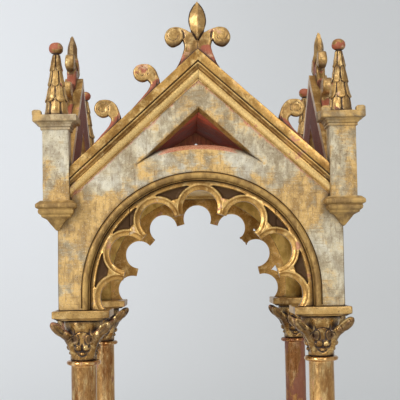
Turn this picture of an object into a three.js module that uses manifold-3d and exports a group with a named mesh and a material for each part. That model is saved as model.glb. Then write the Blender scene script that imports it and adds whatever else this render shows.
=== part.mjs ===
// A Gothic Revival altar canopy of carved and gilded wood: a low platform, four columns with leaf
// capitals, and a square upper stage of four gabled panels with cusped arches, corner turrets,
// crockets and a fleur-de-lis on each gable. Millimetres, +Z up. The origin is the centre of the
// platform's underside, and the front looks towards -Y.

import * as THREE from 'three';
import { mergeVertices } from 'three/addons/utils/BufferGeometryUtils.js';
import Module from 'manifold-3d';

const wasm = await Module();
wasm.setup();

// Open joint between pieces that touch.
const joint = 0.3;

// Plan of the upper stage.
const canopyWidth = 400;
const panelThickness = 17;

// Platform and columns.
const platformMargin = 35;
const platformHeight = 45;
const platformStep = 14;
const columnInset = 31.5;
const columnHeight = 450;
const shaftDiameter = 35.8;
const plinthWidth = 62;
const plinthHeight = 12;
const baseHeight = 26;
const baseFlare = 11;
const astragalDiameter = 48.6;
const astragalHeight = 6;

// Capitals and the square slabs on them.
const capitalHeight = 57.5;
const capitalNeckDiameter = 35;
const capitalRimDiameter = 58;
const leafReach = 57;
const leafWidth = 15;
const leafThickness = 9;
const abacusWidth = 80;
const abacusHeight = 13.5;
const abacusBevel = 3;
const abacusRound = 1.2;

// Gable panels. Heights are above the panel's foot.
const gableAngle = THREE.MathUtils.degToRad(42);
const gableHeight = 364.2;
const archStilt = 23.8;
const archOpeningRadius = 156.5;
const archRollWidth = 11.1;
const archRollProjection = 3.6;
const archSegments = 20;
const lightApexHeight = 283.2;
const lightSillBand = 32.4;
const lightSplay = 3.5;
const lightSillRise = 7;
const lightSplayDepth = 10;

// Cusped tracery in the arch.
const traceryRecess = 5;
const traceryThickness = 12;
const traceryRelief = 5;
const spandrelDepth = 4.5;
const foilCount = 7;
const foilPitch = THREE.MathUtils.degToRad(31);
const foilInset = 38.5;
const foilRadius = 24.5;
const foilRingWidth = 6.9;
const foilFillet = 2.1;
const cuspInset = 45.3;
const archBandWidth = 6.2;

// Rake mouldings on the gables.
const copingThickness = 11.8;
const copingProjection = 12;
const rakeDepth = 20;

// Fleur-de-lis and crockets.
const carvingThickness = 15;
const petalRidge = 17;
const fleurHeight = 67;
const crocketStations = { left: [79, 134.5], right: [79, 137.5] };
const crocketRise = 39.6;
const crocketScrollRadius = 12.4;

// Corner turrets and their spires. Heights are above the panel's foot.
const turretWidth = 36.5;
const turretFoot = 153.5;
const turretShaftHeight = 98;
const turretCapWidth = 61;
const turretCapHeight = 20;
const corbelWidth = 56;
const corbelDrop = 41.5;
const merlonWidth = 12.6;
const merlonHeight = 7;
const spireHeight = 106;
const spireWidth = 35;
const spireBallDiameter = 20.5;
const spireLeaves = 6;
const spireFlares = [1, 0.95, 0.73, 0.555];
const spireNecks = [0.82, 0.62, 0.47, 0.3];

// Ceiling and roof boards inside the panels.
const ceilingLevel = 182;
const ceilingThickness = 10;
const battenDrop = 5;
const battenWidth = 12;
const roofRidgeDrop = 67.2;
const roofThickness = 8;

// Places worked out from the sizes above.
const halfWidth = canopyWidth / 2;
const innerHalf = halfWidth - panelThickness;
const columnAxis = halfWidth - columnInset;
const capitalFoot = platformHeight + columnHeight;
const abacusFoot = capitalFoot + capitalHeight;
const panelFoot = abacusFoot + abacusHeight;
const slope = Math.tan(gableAngle);
const slopeCos = Math.cos(gableAngle);
const rakeEnd = halfWidth - turretWidth / 2 - joint;
const panelApex = gableHeight - (copingThickness + joint) / slopeCos;
const roofRidgeLevel = gableHeight - roofRidgeDrop;
const archRollRadius = archOpeningRadius + archRollWidth;
const lightSillRadius = archRollRadius + lightSillBand;
const foilCentreRadius = archOpeningRadius - foilInset;
const cuspTipRadius = archOpeningRadius - cuspInset;

const finishes = {
  gesso: { color: 0xb9ab84, roughness: 0.7, metalness: 0.15 },
  gold: { color: 0xb98d3e, roughness: 0.45, metalness: 0.6 },
  burnished: { color: 0xa9762f, roughness: 0.3, metalness: 0.75 },
  antique: { color: 0x8a6a34, roughness: 0.55, metalness: 0.45 },
  wood: { color: 0x6a3b27, roughness: 0.85, metalness: 0 },
};

function vec2(x, y) {
  return new THREE.Vector2(x, y);
}

function vec3(x, y, z) {
  return new THREE.Vector3(x, y, z);
}

// Merges shared corners, drops triangles without area and turns the faces outwards.
function closedGeometry(geometry) {
  const plain = geometry.clone();
  plain.deleteAttribute('normal');
  plain.deleteAttribute('uv');
  const merged = mergeVertices(plain, 1e-4);
  const source = merged.index.array;
  const place = merged.attributes.position;
  const kept = [];
  let volume = 0;
  const corners = [new THREE.Vector3(), new THREE.Vector3(), new THREE.Vector3()];
  for (let i = 0; i < source.length; i += 3) {
    const [a, b, c] = [source[i], source[i + 1], source[i + 2]];
    if (a === b || b === c || c === a) continue;
    kept.push(a, b, c);
    [a, b, c].forEach((index, k) => corners[k].fromBufferAttribute(place, index));
    volume += corners[0].dot(corners[1].clone().cross(corners[2]));
  }
  if (volume < 0) {
    for (let i = 0; i < kept.length; i += 3) [kept[i], kept[i + 1]] = [kept[i + 1], kept[i]];
  }
  merged.setIndex(kept);
  return merged;
}

function toSolid(geometry) {
  const closed = closedGeometry(geometry);
  return new wasm.Manifold(new wasm.Mesh({
    numProp: 3,
    vertProperties: Float32Array.from(closed.attributes.position.array),
    triVerts: Uint32Array.from(closed.index.array),
  }));
}

function toGeometry(solid) {
  const mesh = solid.getMesh();
  const geometry = new THREE.BufferGeometry();
  geometry.setAttribute('position', new THREE.BufferAttribute(mesh.vertProperties, 3));
  geometry.setIndex(new THREE.BufferAttribute(mesh.triVerts, 1));
  geometry.computeVertexNormals();
  return geometry;
}

function box(x0, x1, y0, y1, z0, z1) {
  const geometry = new THREE.BoxGeometry(x1 - x0, y1 - y0, z1 - z0);
  return geometry.translate((x0 + x1) / 2, (y0 + y1) / 2, (z0 + z1) / 2);
}

// A flat board drawn in the gable's plane (x across, z up) with its front face at frontY.
function plate(shape, frontY, thickness) {
  const geometry = new THREE.ExtrudeGeometry(shape, { depth: thickness, bevelEnabled: false });
  return geometry.rotateX(Math.PI / 2).translate(0, frontY + thickness, 0);
}

// A turned piece standing on +Z, from [radius, height] pairs.
function turned(profile, sides) {
  const points = profile.map(([radius, height]) => vec2(radius, height));
  return new THREE.LatheGeometry(points, sides).rotateX(Math.PI / 2);
}

// A square piece with a moulded outline, from [half width, height] pairs.
function squareTurned(profile) {
  const points = profile.map(([half, height]) => vec2(half * Math.SQRT2, height));
  return new THREE.LatheGeometry(points, 4, Math.PI / 4).rotateX(Math.PI / 2);
}

// A closed skin over rings of corners. Every ring has the same number of corners and is convex.
function skin(rings) {
  const count = rings[0].length;
  const corners = rings.flat().flatMap((corner) => [corner.x, corner.y, corner.z]);
  const index = [];
  for (let i = 0; i + 1 < rings.length; i++) {
    for (let j = 0; j < count; j++) {
      const next = (j + 1) % count;
      const [a, b, c, d] = [i * count + j, i * count + next, (i + 1) * count + next, (i + 1) * count + j];
      index.push(a, b, c, a, c, d);
    }
  }
  const last = (rings.length - 1) * count;
  for (let j = 1; j + 1 < count; j++) {
    index.push(0, j + 1, j);
    index.push(last, last + j, last + j + 1);
  }
  const geometry = new THREE.BufferGeometry();
  geometry.setAttribute('position', new THREE.Float32BufferAttribute(corners, 3));
  geometry.setIndex(index);
  return closedGeometry(geometry);
}

// Points of a stilted round arch, from the right foot over the crown to the left foot.
function archPoints(radius, foot) {
  const points = [vec2(radius, foot)];
  for (let i = 0; i <= archSegments; i++) {
    const angle = Math.PI * i / archSegments;
    points.push(vec2(radius * Math.cos(angle), archStilt + radius * Math.sin(angle)));
  }
  points.push(vec2(-radius, foot));
  return points;
}

// The roll moulding round the arch: a bevelled section carried along the arch.
function archRoll() {
  const face = -halfWidth;
  const section = [
    [archOpeningRadius, face + 1],
    [archOpeningRadius + archRollWidth * 0.2, face - archRollProjection],
    [archRollRadius - archRollWidth * 0.2, face - archRollProjection],
    [archRollRadius, face + 1],
  ];
  const lines = section.map(([radius, y]) => archPoints(radius, joint).map((p) => vec3(p.x, y, p.y)));
  const rings = lines[0].map((_, station) => lines.map((line) => line[station]));
  return toSolid(skin(rings));
}

// The three-sided light over the arch: splayed sides and a sill that follows the arch.
function lightCutter() {
  const front = -halfWidth;
  const rings = [[1, 0], [0, 0], [-lightSplayDepth, 1], [-panelThickness - 1, 1]].map(([ahead, share]) => {
    const apex = lightApexHeight - (share * lightSplay - (ahead > 0 ? 1 : 0)) / slopeCos;
    const foot = archStilt + lightSillRadius / 2;
    const half = (apex - foot) / slope;
    return [vec3(0, front - ahead, apex), vec3(-half, front - ahead, foot), vec3(half, front - ahead, foot)];
  });
  const sillBack = lightSillRadius + lightSillRise;
  const sill = new THREE.LatheGeometry([
    vec2(0, front - 2),
    vec2(lightSillRadius, front - 2),
    vec2(lightSillRadius, front),
    vec2(sillBack, front + lightSplayDepth),
    vec2(sillBack, front + panelThickness + 2),
    vec2(0, front + panelThickness + 2),
  ], archSegments * 3).translate(0, 0, archStilt);
  return toSolid(skin(rings)).subtract(toSolid(sill));
}

// One gabled panel with its arch and light. Its ends are mitred to the panels beside it, and its
// shoulders are cut away where the corner turrets stand.
function panelGeometry() {
  const shoulder = turretFoot - joint;
  const outline = [
    vec2(-halfWidth, joint),
    vec2(-halfWidth, shoulder),
    vec2(-rakeEnd, shoulder),
    vec2(-rakeEnd, panelApex - rakeEnd * slope),
    vec2(0, panelApex),
    vec2(rakeEnd, panelApex - rakeEnd * slope),
    vec2(rakeEnd, shoulder),
    vec2(halfWidth, shoulder),
    vec2(halfWidth, joint),
    ...archPoints(archOpeningRadius, joint),
  ];
  const board = toSolid(plate(new THREE.Shape(outline), -halfWidth, panelThickness));
  const mitre = joint / Math.SQRT2;
  const plan = new THREE.Shape([
    vec2(-innerHalf + mitre, -innerHalf),
    vec2(-halfWidth + mitre, -halfWidth),
    vec2(-halfWidth + mitre, -halfWidth - archRollProjection - 1),
    vec2(halfWidth - mitre, -halfWidth - archRollProjection - 1),
    vec2(halfWidth - mitre, -halfWidth),
    vec2(innerHalf - mitre, -innerHalf),
  ]);
  const mitred = toSolid(new THREE.ExtrudeGeometry(plan, { depth: gableHeight, bevelEnabled: false }));
  return toGeometry(board.add(archRoll()).intersect(mitred).subtract(lightCutter()));
}

function foilCentre(index) {
  const angle = (index - (foilCount - 1) / 2) * foilPitch;
  return { angle, x: foilCentreRadius * Math.sin(angle), z: archStilt + foilCentreRadius * Math.cos(angle) };
}

// Points on a circle round one foil's centre, between two angles from its outward direction.
function foilArc(index, radius, from, to, segments) {
  const centre = foilCentre(index);
  const points = [];
  for (let i = 0; i <= segments; i++) {
    const angle = centre.angle + from + (to - from) * i / segments;
    points.push(vec2(centre.x + radius * Math.sin(angle), centre.z + radius * Math.cos(angle)));
  }
  return points;
}

// The angle from a foil's outward direction at which a circle round it reaches the tracery's foot.
function footAngle(radius) {
  const centre = foilCentre(foilCount - 1);
  return Math.PI - Math.acos((centre.z - joint) / radius) - centre.angle;
}

// The edge of all the foils from the left foot to the right foot, on circles of one radius that end
// at the given angle from each foil's outward direction.
function foilEdge(radius, reach, segments) {
  const points = [];
  for (let i = 0; i < foilCount; i++) {
    const from = i === 0 ? -footAngle(radius) : -reach;
    const to = i === foilCount - 1 ? footAngle(radius) : reach;
    const share = (to - from) / (2 * reach);
    points.push(...foilArc(i, radius, from, to, Math.ceil(segments * share)));
  }
  return points;
}

// The sunk spandrel between two neighbouring foils and the arch band, as a cutter.
function spandrelCutter(index, frontY) {
  const radius = foilRadius + foilRingWidth + foilFillet;
  const bandRadius = archOpeningRadius - joint - archBandWidth;
  const centre = foilCentre(index);
  const reach = Math.acos((bandRadius ** 2 - foilCentreRadius ** 2 - radius ** 2) / (2 * foilCentreRadius * radius));
  const tip = Math.PI / 2 - foilPitch / 2 - 0.2;
  const left = foilArc(index, radius, reach + 0.12, tip, 2);
  const axis = centre.angle + foilPitch / 2;
  const mirrored = left.map((point) => {
    const angle = 2 * axis - Math.atan2(point.x, point.y - archStilt);
    const distance = Math.hypot(point.x, point.y - archStilt);
    return vec2(distance * Math.sin(angle), archStilt + distance * Math.cos(angle));
  });
  const crown = vec2(bandRadius * Math.sin(axis), archStilt + bandRadius * Math.cos(axis));
  const outline = new THREE.Shape([...left, ...mirrored.reverse(), crown]);
  return toSolid(plate(outline, frontY - 1, spandrelDepth + 1));
}

function traceryGeometry() {
  const front = -halfWidth + traceryRecess;
  const cuspHalfAngle = foilPitch / 2;
  const below = foilCentreRadius * Math.cos(cuspHalfAngle) - cuspTipRadius;
  const reach = Math.PI / 2 + cuspHalfAngle + Math.asin(below / foilRadius);
  const edge = foilEdge(foilRadius, reach, 6);
  const web = new THREE.Shape([...archPoints(archOpeningRadius - joint, joint), ...edge]);
  const ringOuter = foilEdge(foilRadius + foilRingWidth, THREE.MathUtils.degToRad(88), 4).reverse();
  const ring = new THREE.Shape([...ringOuter, ...edge]);
  const webFront = front + traceryRelief;
  let webBoard = toSolid(plate(web, webFront, traceryThickness - traceryRelief));
  for (let i = 0; i + 1 < foilCount; i++) webBoard = webBoard.subtract(spandrelCutter(i, webFront));
  return toGeometry(webBoard.add(toSolid(plate(ring, front, traceryRelief + 1))));
}

// One rake moulding: coping, groove, bead, hollow and ovolo, upright at both ends and sheared to
// the slope of the gable. side is -1 for the left slope and 1 for the right one.
function rakeGeometry(side) {
  const back = -innerHalf;
  const face = -halfWidth - joint;
  const front = -halfWidth - copingProjection;
  const coping = copingThickness;
  const rest = rakeDepth;
  const section = [
    [0, back],
    [0, front],
    [coping * 0.92, front],
    [coping, front + copingProjection * 0.25],
    [coping + rest * 0.05, front + copingProjection * 0.08],
    [coping + rest * 0.16, front + copingProjection * 0.08],
    [coping + rest * 0.34, front + copingProjection * 0.54],
    [coping + rest * 0.55, front + copingProjection * 0.38],
    [coping + rest, front + copingProjection * 0.92],
    [coping + rest, face],
    [coping, face],
    [coping, back],
  ];
  const shape = new THREE.Shape(section.map(([down, y]) => vec2(y, gableHeight - down / slopeCos)));
  const length = rakeEnd - joint / 2;
  const geometry = new THREE.ExtrudeGeometry(shape, { depth: length, bevelEnabled: false });
  const place = geometry.attributes.position;
  for (let i = 0; i < place.count; i++) {
    const along = place.getZ(i) + joint / 2;
    place.setXYZ(i, side * along, place.getX(i), place.getY(i) - slope * along);
  }
  return closedGeometry(geometry);
}

// The fleur-de-lis that rides on a gable's apex: a plate with two scrolls and a ridged petal.
function fleurGeometry() {
  const seat = gableHeight + joint / slopeCos;
  const foot = fleurHeight * 0.507;
  const at = (across, up) => vec2(fleurHeight * across, seat + fleurHeight * up);
  const arm = new THREE.SplineCurve([
    vec2(foot, seat - foot * slope),
    at(0.396, -0.269),
    at(0.313, -0.06),
    at(0.281, 0.09),
    at(0.321, 0.216),
  ]).getPoints(4);
  const scroll = new THREE.SplineCurve([
    at(0.321, 0.216),
    at(0.403, 0.112),
    at(0.545, 0.072),
    at(0.664, 0.164),
    at(0.694, 0.299),
    at(0.612, 0.448),
    at(0.463, 0.493),
    at(0.299, 0.455),
    at(0.149, 0.366),
    at(0, 0.299),
  ]).getPoints(10).slice(1);
  const right = [...arm, ...scroll];
  const left = right.slice(0, -1).reverse().map((point) => vec2(-point.x, point.y));
  const outline = new THREE.Shape([...right, ...left, vec2(0, seat)]);
  const middle = -halfWidth;
  const arms = toSolid(plate(outline, middle - carvingThickness / 2, carvingThickness));
  const halfRidge = petalRidge / 2;
  const petal = [
    [0.149, 0.075, 0.55],
    [0.418, 0.134, 0.85],
    [0.522, 0.172, 1],
    [0.627, 0.176, 1],
    [0.746, 0.149, 0.85],
    [0.91, 0.084, 0.55],
    [1.045, 0.006, 0.1],
  ].map(([up, across, ridge]) => {
    const [half, level] = [fleurHeight * across, seat + fleurHeight * up];
    return [
      vec3(half, middle, level),
      vec3(0, middle + halfRidge * ridge, level),
      vec3(-half, middle, level),
      vec3(0, middle - halfRidge * ridge, level),
    ];
  });
  return toGeometry(arms.add(toSolid(skin(petal))));
}

// A crocket: a scroll on a neck whose tail runs down the slope. It is drawn for the left slope,
// where uphill is +x, and mirrored for the right one.
function crocketGeometry(side, station) {
  const top = crocketRise;
  const radius = crocketScrollRadius;
  const toe = top * 0.631;
  const tail = -top * 0.53;
  const lift = joint / slopeCos;
  const back = new THREE.SplineCurve([
    vec2(toe, toe * slope + lift),
    vec2(toe * 0.984, top * 0.722),
    vec2(toe * 0.76, top * 1.101),
    vec2(toe * 0.4, top + radius * 0.92),
    vec2(0, top + radius),
  ]).getPoints(4);
  const scroll = [];
  const scrollEnd = THREE.MathUtils.degToRad(305);
  const scrollSteps = 6;
  for (let i = 1; i <= scrollSteps; i++) {
    const angle = Math.PI / 2 + (scrollEnd - Math.PI / 2) * i / scrollSteps;
    scroll.push(vec2(radius * Math.cos(angle), top + radius * Math.sin(angle)));
  }
  const neck = new THREE.SplineCurve([
    scroll[scroll.length - 1],
    vec2(toe * 0.464, top * 0.596),
    vec2(toe * 0.368, top * 0.394),
    vec2(toe * 0.04, top * 0.141),
    vec2(tail, tail * slope + lift),
  ]).getPoints(4).slice(1);
  const outline = new THREE.Shape([...back, ...scroll, ...neck]);
  const geometry = plate(outline, -halfWidth - carvingThickness / 2, carvingThickness);
  geometry.scale(-side, 1, 1);
  geometry.translate(side * station, 0, gableHeight - slope * station);
  return closedGeometry(geometry);
}

// A corner turret: pendant, corbel, post and moulded cap in one, with corner blocks on the cap.
// It is drawn round its own axis, and the panels' corner is cut out of the corbel.
function turretGeometry(merlons) {
  const half = turretWidth / 2;
  const corbel = corbelWidth / 2;
  const cap = turretCapWidth / 2;
  const capFoot = turretFoot + turretShaftHeight;
  const capTop = capFoot + turretCapHeight;
  const body = squareTurned([
    [0, turretFoot - corbelDrop],
    [corbel * 0.46, turretFoot - corbelDrop * 0.64],
    [corbel * 0.72, turretFoot - corbelDrop * 0.53],
    [corbel * 0.86, turretFoot - corbelDrop * 0.41],
    [corbel * 0.86, turretFoot - corbelDrop * 0.3],
    [corbel, turretFoot - corbelDrop * 0.24],
    [corbel, turretFoot - corbelDrop * 0.12],
    [half * 1.16, turretFoot],
    [half, turretFoot],
    [half, capFoot],
    [half * 1.11, capFoot + turretCapHeight * 0.08],
    [half * 1.11, capFoot + turretCapHeight * 0.2],
    [cap * 0.8, capFoot + turretCapHeight * 0.52],
    [cap, capFoot + turretCapHeight * 0.62],
    [cap, capTop],
    [0, capTop],
  ]);
  const corner = box(0, corbelWidth, 0, corbelWidth, turretFoot - corbelDrop - 1, turretFoot);
  const clearance = corner.translate(-joint, -joint, 0);
  let turret = toSolid(body).subtract(toSolid(clearance));
  for (const [x, y] of merlons) {
    const block = box(
      x * cap - merlonWidth * (x + 1) / 2,
      x * cap - merlonWidth * (x - 1) / 2,
      y * cap - merlonWidth * (y + 1) / 2,
      y * cap - merlonWidth * (y - 1) / 2,
      capTop - 1,
      capTop + merlonHeight,
    );
    turret = turret.add(toSolid(block));
  }
  return toGeometry(turret);
}

// A spire of overlapping leaf scales under a ball. Each tier is a turned flare whose lower edge is
// lifted between the leaves, and the tiers are staggered by half a leaf.
function spireGeometry() {
  const foot = turretFoot + turretShaftHeight + turretCapHeight + joint;
  const ball = spireBallDiameter / 2;
  const stem = spireHeight - spireBallDiameter * 0.85;
  const tierHeight = stem / spireFlares.length;
  const profile = [[0, 0]];
  const edgeRows = new Map();
  spireFlares.forEach((flare, tier) => {
    const start = tier * tierHeight;
    edgeRows.set(profile.length, tier);
    profile.push([spireWidth / 2 * flare, start + (tier === 0 ? 0 : tierHeight * 0.05)]);
    profile.push([spireWidth / 2 * spireNecks[tier], start + tierHeight]);
  });
  profile.push([ball, stem + ball * 0.6]);
  profile.push([ball * 0.9, stem + ball * 1.2]);
  profile.push([0, spireHeight]);
  const sides = spireLeaves * 2;
  const geometry = turned(profile, sides);
  const place = geometry.attributes.position;
  const rows = profile.length;
  for (let i = 0; i < place.count; i++) {
    const tier = edgeRows.get(i % rows);
    const step = Math.floor(i / rows) % sides;
    if (tier === undefined || tier === 0) continue;
    if ((step + tier) % 2 === 0) {
      place.setXYZ(i, place.getX(i) * 0.86, place.getY(i) * 0.86, place.getZ(i) + tierHeight * 0.18);
    } else {
      place.setZ(i, place.getZ(i) - tierHeight * 0.1);
    }
  }
  return closedGeometry(geometry).translate(0, 0, foot);
}

// A column: square plinth, turned base, shaft and the ring under the capital.
function columnGeometry() {
  const shaft = shaftDiameter / 2;
  const ring = astragalDiameter / 2;
  const flare = shaft + baseFlare;
  const base = plinthHeight;
  const ringFoot = columnHeight - astragalHeight;
  const body = turned([
    [0, base - 1],
    [flare - baseFlare * 0.14, base - 1],
    [flare, base + baseHeight * 0.2],
    [flare - baseFlare * 0.18, base + baseHeight * 0.4],
    [shaft + baseFlare * 0.4, base + baseHeight * 0.6],
    [shaft, base + baseHeight],
    [shaft, ringFoot],
    [ring, ringFoot + astragalHeight * 0.35],
    [ring, ringFoot + astragalHeight * 0.65],
    [shaft, columnHeight],
    [0, columnHeight],
  ], 12);
  const half = plinthWidth / 2;
  const plinth = box(-half, half, -half, half, joint, base);
  return toGeometry(toSolid(body).add(toSolid(plinth)));
}

// A leaf of the capital: four-cornered sections along its spine, out towards one corner.
function capitalLeaf(angle, spine) {
  const rings = spine.map(([radius, height, width, thickness, lean]) => {
    const half = width / 2;
    const across = [-Math.sin(angle) * half, Math.cos(angle) * half];
    const up = thickness * Math.cos(lean);
    const out = thickness * Math.sin(lean);
    const at = (side, raised) => vec3(
      Math.cos(angle) * (radius - raised * out) + side * across[0],
      Math.sin(angle) * (radius - raised * out) + side * across[1],
      height + raised * up,
    );
    return [at(-1, 0), at(1, 0), at(0.7, 1), at(-0.7, 1)];
  });
  return toSolid(skin(rings));
}

// The capital: a bell with four corner leaves that curl out under the slab, and four low curls.
function capitalGeometry() {
  const neck = capitalNeckDiameter / 2;
  const rim = capitalRimDiameter / 2;
  const height = capitalHeight - joint;
  let capital = toSolid(turned([
    [0, joint],
    [neck + 1, joint],
    [neck + 1, height * 0.35],
    [neck + 5, height * 0.62],
    [rim, height * 0.88],
    [rim, height],
    [0, height],
  ], 8));
  const w = leafWidth;
  const t = leafThickness;
  for (let i = 0; i < 4; i++) {
    const diagonal = Math.PI / 4 + i * Math.PI / 2;
    capital = capital.add(capitalLeaf(diagonal, [
      [neck - 4, height * 0.3, w * 0.8, t, 1.3],
      [neck + 9, height * 0.48, w, t, 1.0],
      [leafReach * 0.72, height * 0.66, w, t, 0.6],
      [leafReach, height * 0.82, w * 0.7, t * 0.9, 0.2],
    ]));
    capital = capital.add(capitalLeaf(i * Math.PI / 2, [
      [neck - 4, height * 0.1, w * 0.7, t * 0.8, 1.3],
      [neck + 5, height * 0.36, w * 0.7, t * 0.7, 0.4],
    ]));
  }
  return toGeometry(capital);
}

function abacusGeometry() {
  const half = abacusWidth / 2;
  const round = abacusRound;
  const height = abacusHeight;
  return closedGeometry(squareTurned([
    [0, joint],
    [half - abacusBevel * 2, joint],
    [half - round, abacusBevel],
    [half, abacusBevel + round],
    [half, height - round],
    [half - round, height],
    [0, height],
  ]));
}

function platformGeometry() {
  const half = halfWidth + platformMargin;
  const top = half - platformStep;
  return closedGeometry(squareTurned([
    [0, 0],
    [half, 0],
    [half, platformHeight * 0.5],
    [half - platformStep * 0.2, platformHeight * 0.56],
    [top + platformStep * 0.2, platformHeight * 0.72],
    [top, platformHeight * 0.78],
    [top, platformHeight],
    [0, platformHeight],
  ]));
}

// The flat ceiling with a batten along each edge, behind the tracery.
function ceilingGeometry() {
  const half = rakeEnd;
  const board = box(-half, half, -half, half, ceilingLevel - battenDrop, ceilingLevel + ceilingThickness);
  const inner = half - battenWidth;
  const sunk = box(-inner, inner, -inner, inner, ceilingLevel - battenDrop - 1, ceilingLevel);
  return toGeometry(toSolid(board).subtract(toSolid(sunk)));
}

// One of the two roof boards that rise from the ceiling's edge to the ridge.
function roofGeometry(side) {
  const eaves = rakeEnd;
  const foot = ceilingLevel + ceilingThickness + joint;
  const ridge = joint / 2;
  const outline = new THREE.Shape([
    vec2(side * eaves, foot),
    vec2(side * eaves, foot + roofThickness),
    vec2(side * ridge, roofRidgeLevel + roofThickness),
    vec2(side * ridge, roofRidgeLevel),
    vec2(side * (eaves - 6), foot),
  ]);
  return closedGeometry(plate(outline, -eaves, 2 * eaves));
}

const canopy = new THREE.Group();

function addPiece(parent, name, geometry, finish) {
  const mesh = new THREE.Mesh(geometry, new THREE.MeshStandardMaterial(finishes[finish]));
  mesh.name = name;
  parent.add(mesh);
  return mesh;
}

addPiece(canopy, 'base_platform', platformGeometry(), 'gesso');

const upperStage = new THREE.Group();
upperStage.position.z = panelFoot;
canopy.add(upperStage);
addPiece(upperStage, 'ceiling_board', ceilingGeometry(), 'wood');
addPiece(upperStage, 'roof_board_left', roofGeometry(-1), 'wood');
addPiece(upperStage, 'roof_board_right', roofGeometry(1), 'wood');

// The four gabled faces, alike but for the crocket that is broken off the front's right slope.
const slopes = [['left', -1], ['right', 1]];
const crocketNames = ['upper', 'lower'];
['front', 'right', 'back', 'left'].forEach((faceName, quarter) => {
  const face = new THREE.Group();
  face.rotation.z = quarter * Math.PI / 2;
  upperStage.add(face);
  addPiece(face, `panel_${faceName}`, panelGeometry(), 'gesso');
  addPiece(face, `tracery_${faceName}`, traceryGeometry(), 'gold');
  addPiece(face, `fleur_${faceName}`, fleurGeometry(), 'gold');
  for (const [slopeName, side] of slopes) {
    addPiece(face, `rake_${faceName}_${slopeName}`, rakeGeometry(side), 'gold');
    crocketStations[slopeName].forEach((station, i) => {
      if (faceName === 'front' && slopeName === 'right' && i === 0) return;
      const name = `crocket_${faceName}_${slopeName}_${crocketNames[i]}`;
      addPiece(face, name, crocketGeometry(side, station), 'gold');
    });
  }
});

// The four corners. Each is drawn as the front left one and turned into place. The cap of the
// front left turret has lost its corner blocks but for the outer one.
const allMerlons = [[-1, -1], [1, -1], [1, 1], [-1, 1]];
['front_left', 'front_right', 'back_right', 'back_left'].forEach((cornerName, quarter) => {
  const corner = new THREE.Group();
  corner.rotation.z = quarter * Math.PI / 2;
  canopy.add(corner);
  const column = addPiece(corner, `column_${cornerName}`, columnGeometry(), 'burnished');
  column.position.set(-columnAxis, -columnAxis, platformHeight);
  const capital = addPiece(corner, `capital_${cornerName}`, capitalGeometry(), 'antique');
  capital.position.set(-columnAxis, -columnAxis, capitalFoot);
  const abacus = addPiece(corner, `abacus_${cornerName}`, abacusGeometry(), 'gold');
  abacus.position.set(-columnAxis, -columnAxis, abacusFoot);
  const merlons = cornerName === 'front_left' ? [[-1, -1]] : allMerlons;
  const turret = addPiece(corner, `turret_${cornerName}`, turretGeometry(merlons), 'gesso');
  turret.position.set(-halfWidth, -halfWidth, panelFoot);
  const spire = addPiece(corner, `spire_${cornerName}`, spireGeometry(), 'gold');
  spire.position.set(-halfWidth, -halfWidth, panelFoot);
});

export default canopy;
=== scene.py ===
# The looks of a Gothic Revival altar canopy of carved and gilded wood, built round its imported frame.
# Lengths are in millimetres until a mesh is made, and heights of the upper stage are above the
# foot of its panels, as in the frame's source.

import itertools
import math

import bpy
import numpy as np
from mathutils import Matrix, Vector
from mathutils.geometry import delaunay_2d_cdt


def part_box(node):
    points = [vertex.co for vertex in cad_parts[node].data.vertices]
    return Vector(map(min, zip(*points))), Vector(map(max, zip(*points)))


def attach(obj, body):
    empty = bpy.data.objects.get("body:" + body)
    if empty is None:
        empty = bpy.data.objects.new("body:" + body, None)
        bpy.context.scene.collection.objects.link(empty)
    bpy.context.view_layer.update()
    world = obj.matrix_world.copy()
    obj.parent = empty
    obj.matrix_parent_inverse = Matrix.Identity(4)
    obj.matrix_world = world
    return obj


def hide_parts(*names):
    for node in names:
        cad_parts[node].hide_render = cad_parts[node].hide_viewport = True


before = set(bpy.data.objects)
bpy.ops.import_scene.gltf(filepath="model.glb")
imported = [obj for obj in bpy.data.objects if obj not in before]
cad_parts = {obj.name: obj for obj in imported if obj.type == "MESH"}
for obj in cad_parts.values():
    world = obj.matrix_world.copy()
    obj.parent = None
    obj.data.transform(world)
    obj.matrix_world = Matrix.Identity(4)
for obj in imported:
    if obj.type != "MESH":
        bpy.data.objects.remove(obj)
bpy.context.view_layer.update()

MM = 0.001
JOINT = 0.3
SMOOTH_ANGLE = math.radians(48)


def corners(node):
    """A node's lowest and highest corner, in millimetres."""
    low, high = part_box(node)
    return np.array(low) / MM, np.array(high) / MM


# Places read from the frame.
PANEL_FOOT = corners("panel_front")[0][2] - JOINT
PLATFORM_TOP = corners("base_platform")[1][2]
PLATFORM_HALF = corners("base_platform")[1][0]
CAPITAL_FOOT = corners("column_front_left")[1][2]
ABACUS_FOOT = corners("abacus_front_left")[0][2] - JOINT
COLUMN_AXIS = -(corners("column_front_left")[0][0] + corners("column_front_left")[1][0]) / 2
GABLE_HEIGHT = corners("rake_front_left")[1][2] - PANEL_FOOT

# Gabled panels.
HALF_WIDTH = 200.0
MITRE_START = 160.0
PANEL_THICKNESS = 17.0
GABLE_SLOPE = math.tan(math.radians(42))
GABLE_COS = math.cos(math.radians(42))
ARCH_STILT = 23.8
ARCH_RADIUS = 156.5
ROLL_PROJECTION = 3.6
LIGHT_APEX = 283.2
LIGHT_SILL_RADIUS = 200.0
LIGHT_SPLAY = 3.5
LIGHT_SILL_RISE = 7.0
COPING = 11.8
RAKE_DEPTH = 20.0
RAKE_PROJECTION = 12.0

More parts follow.
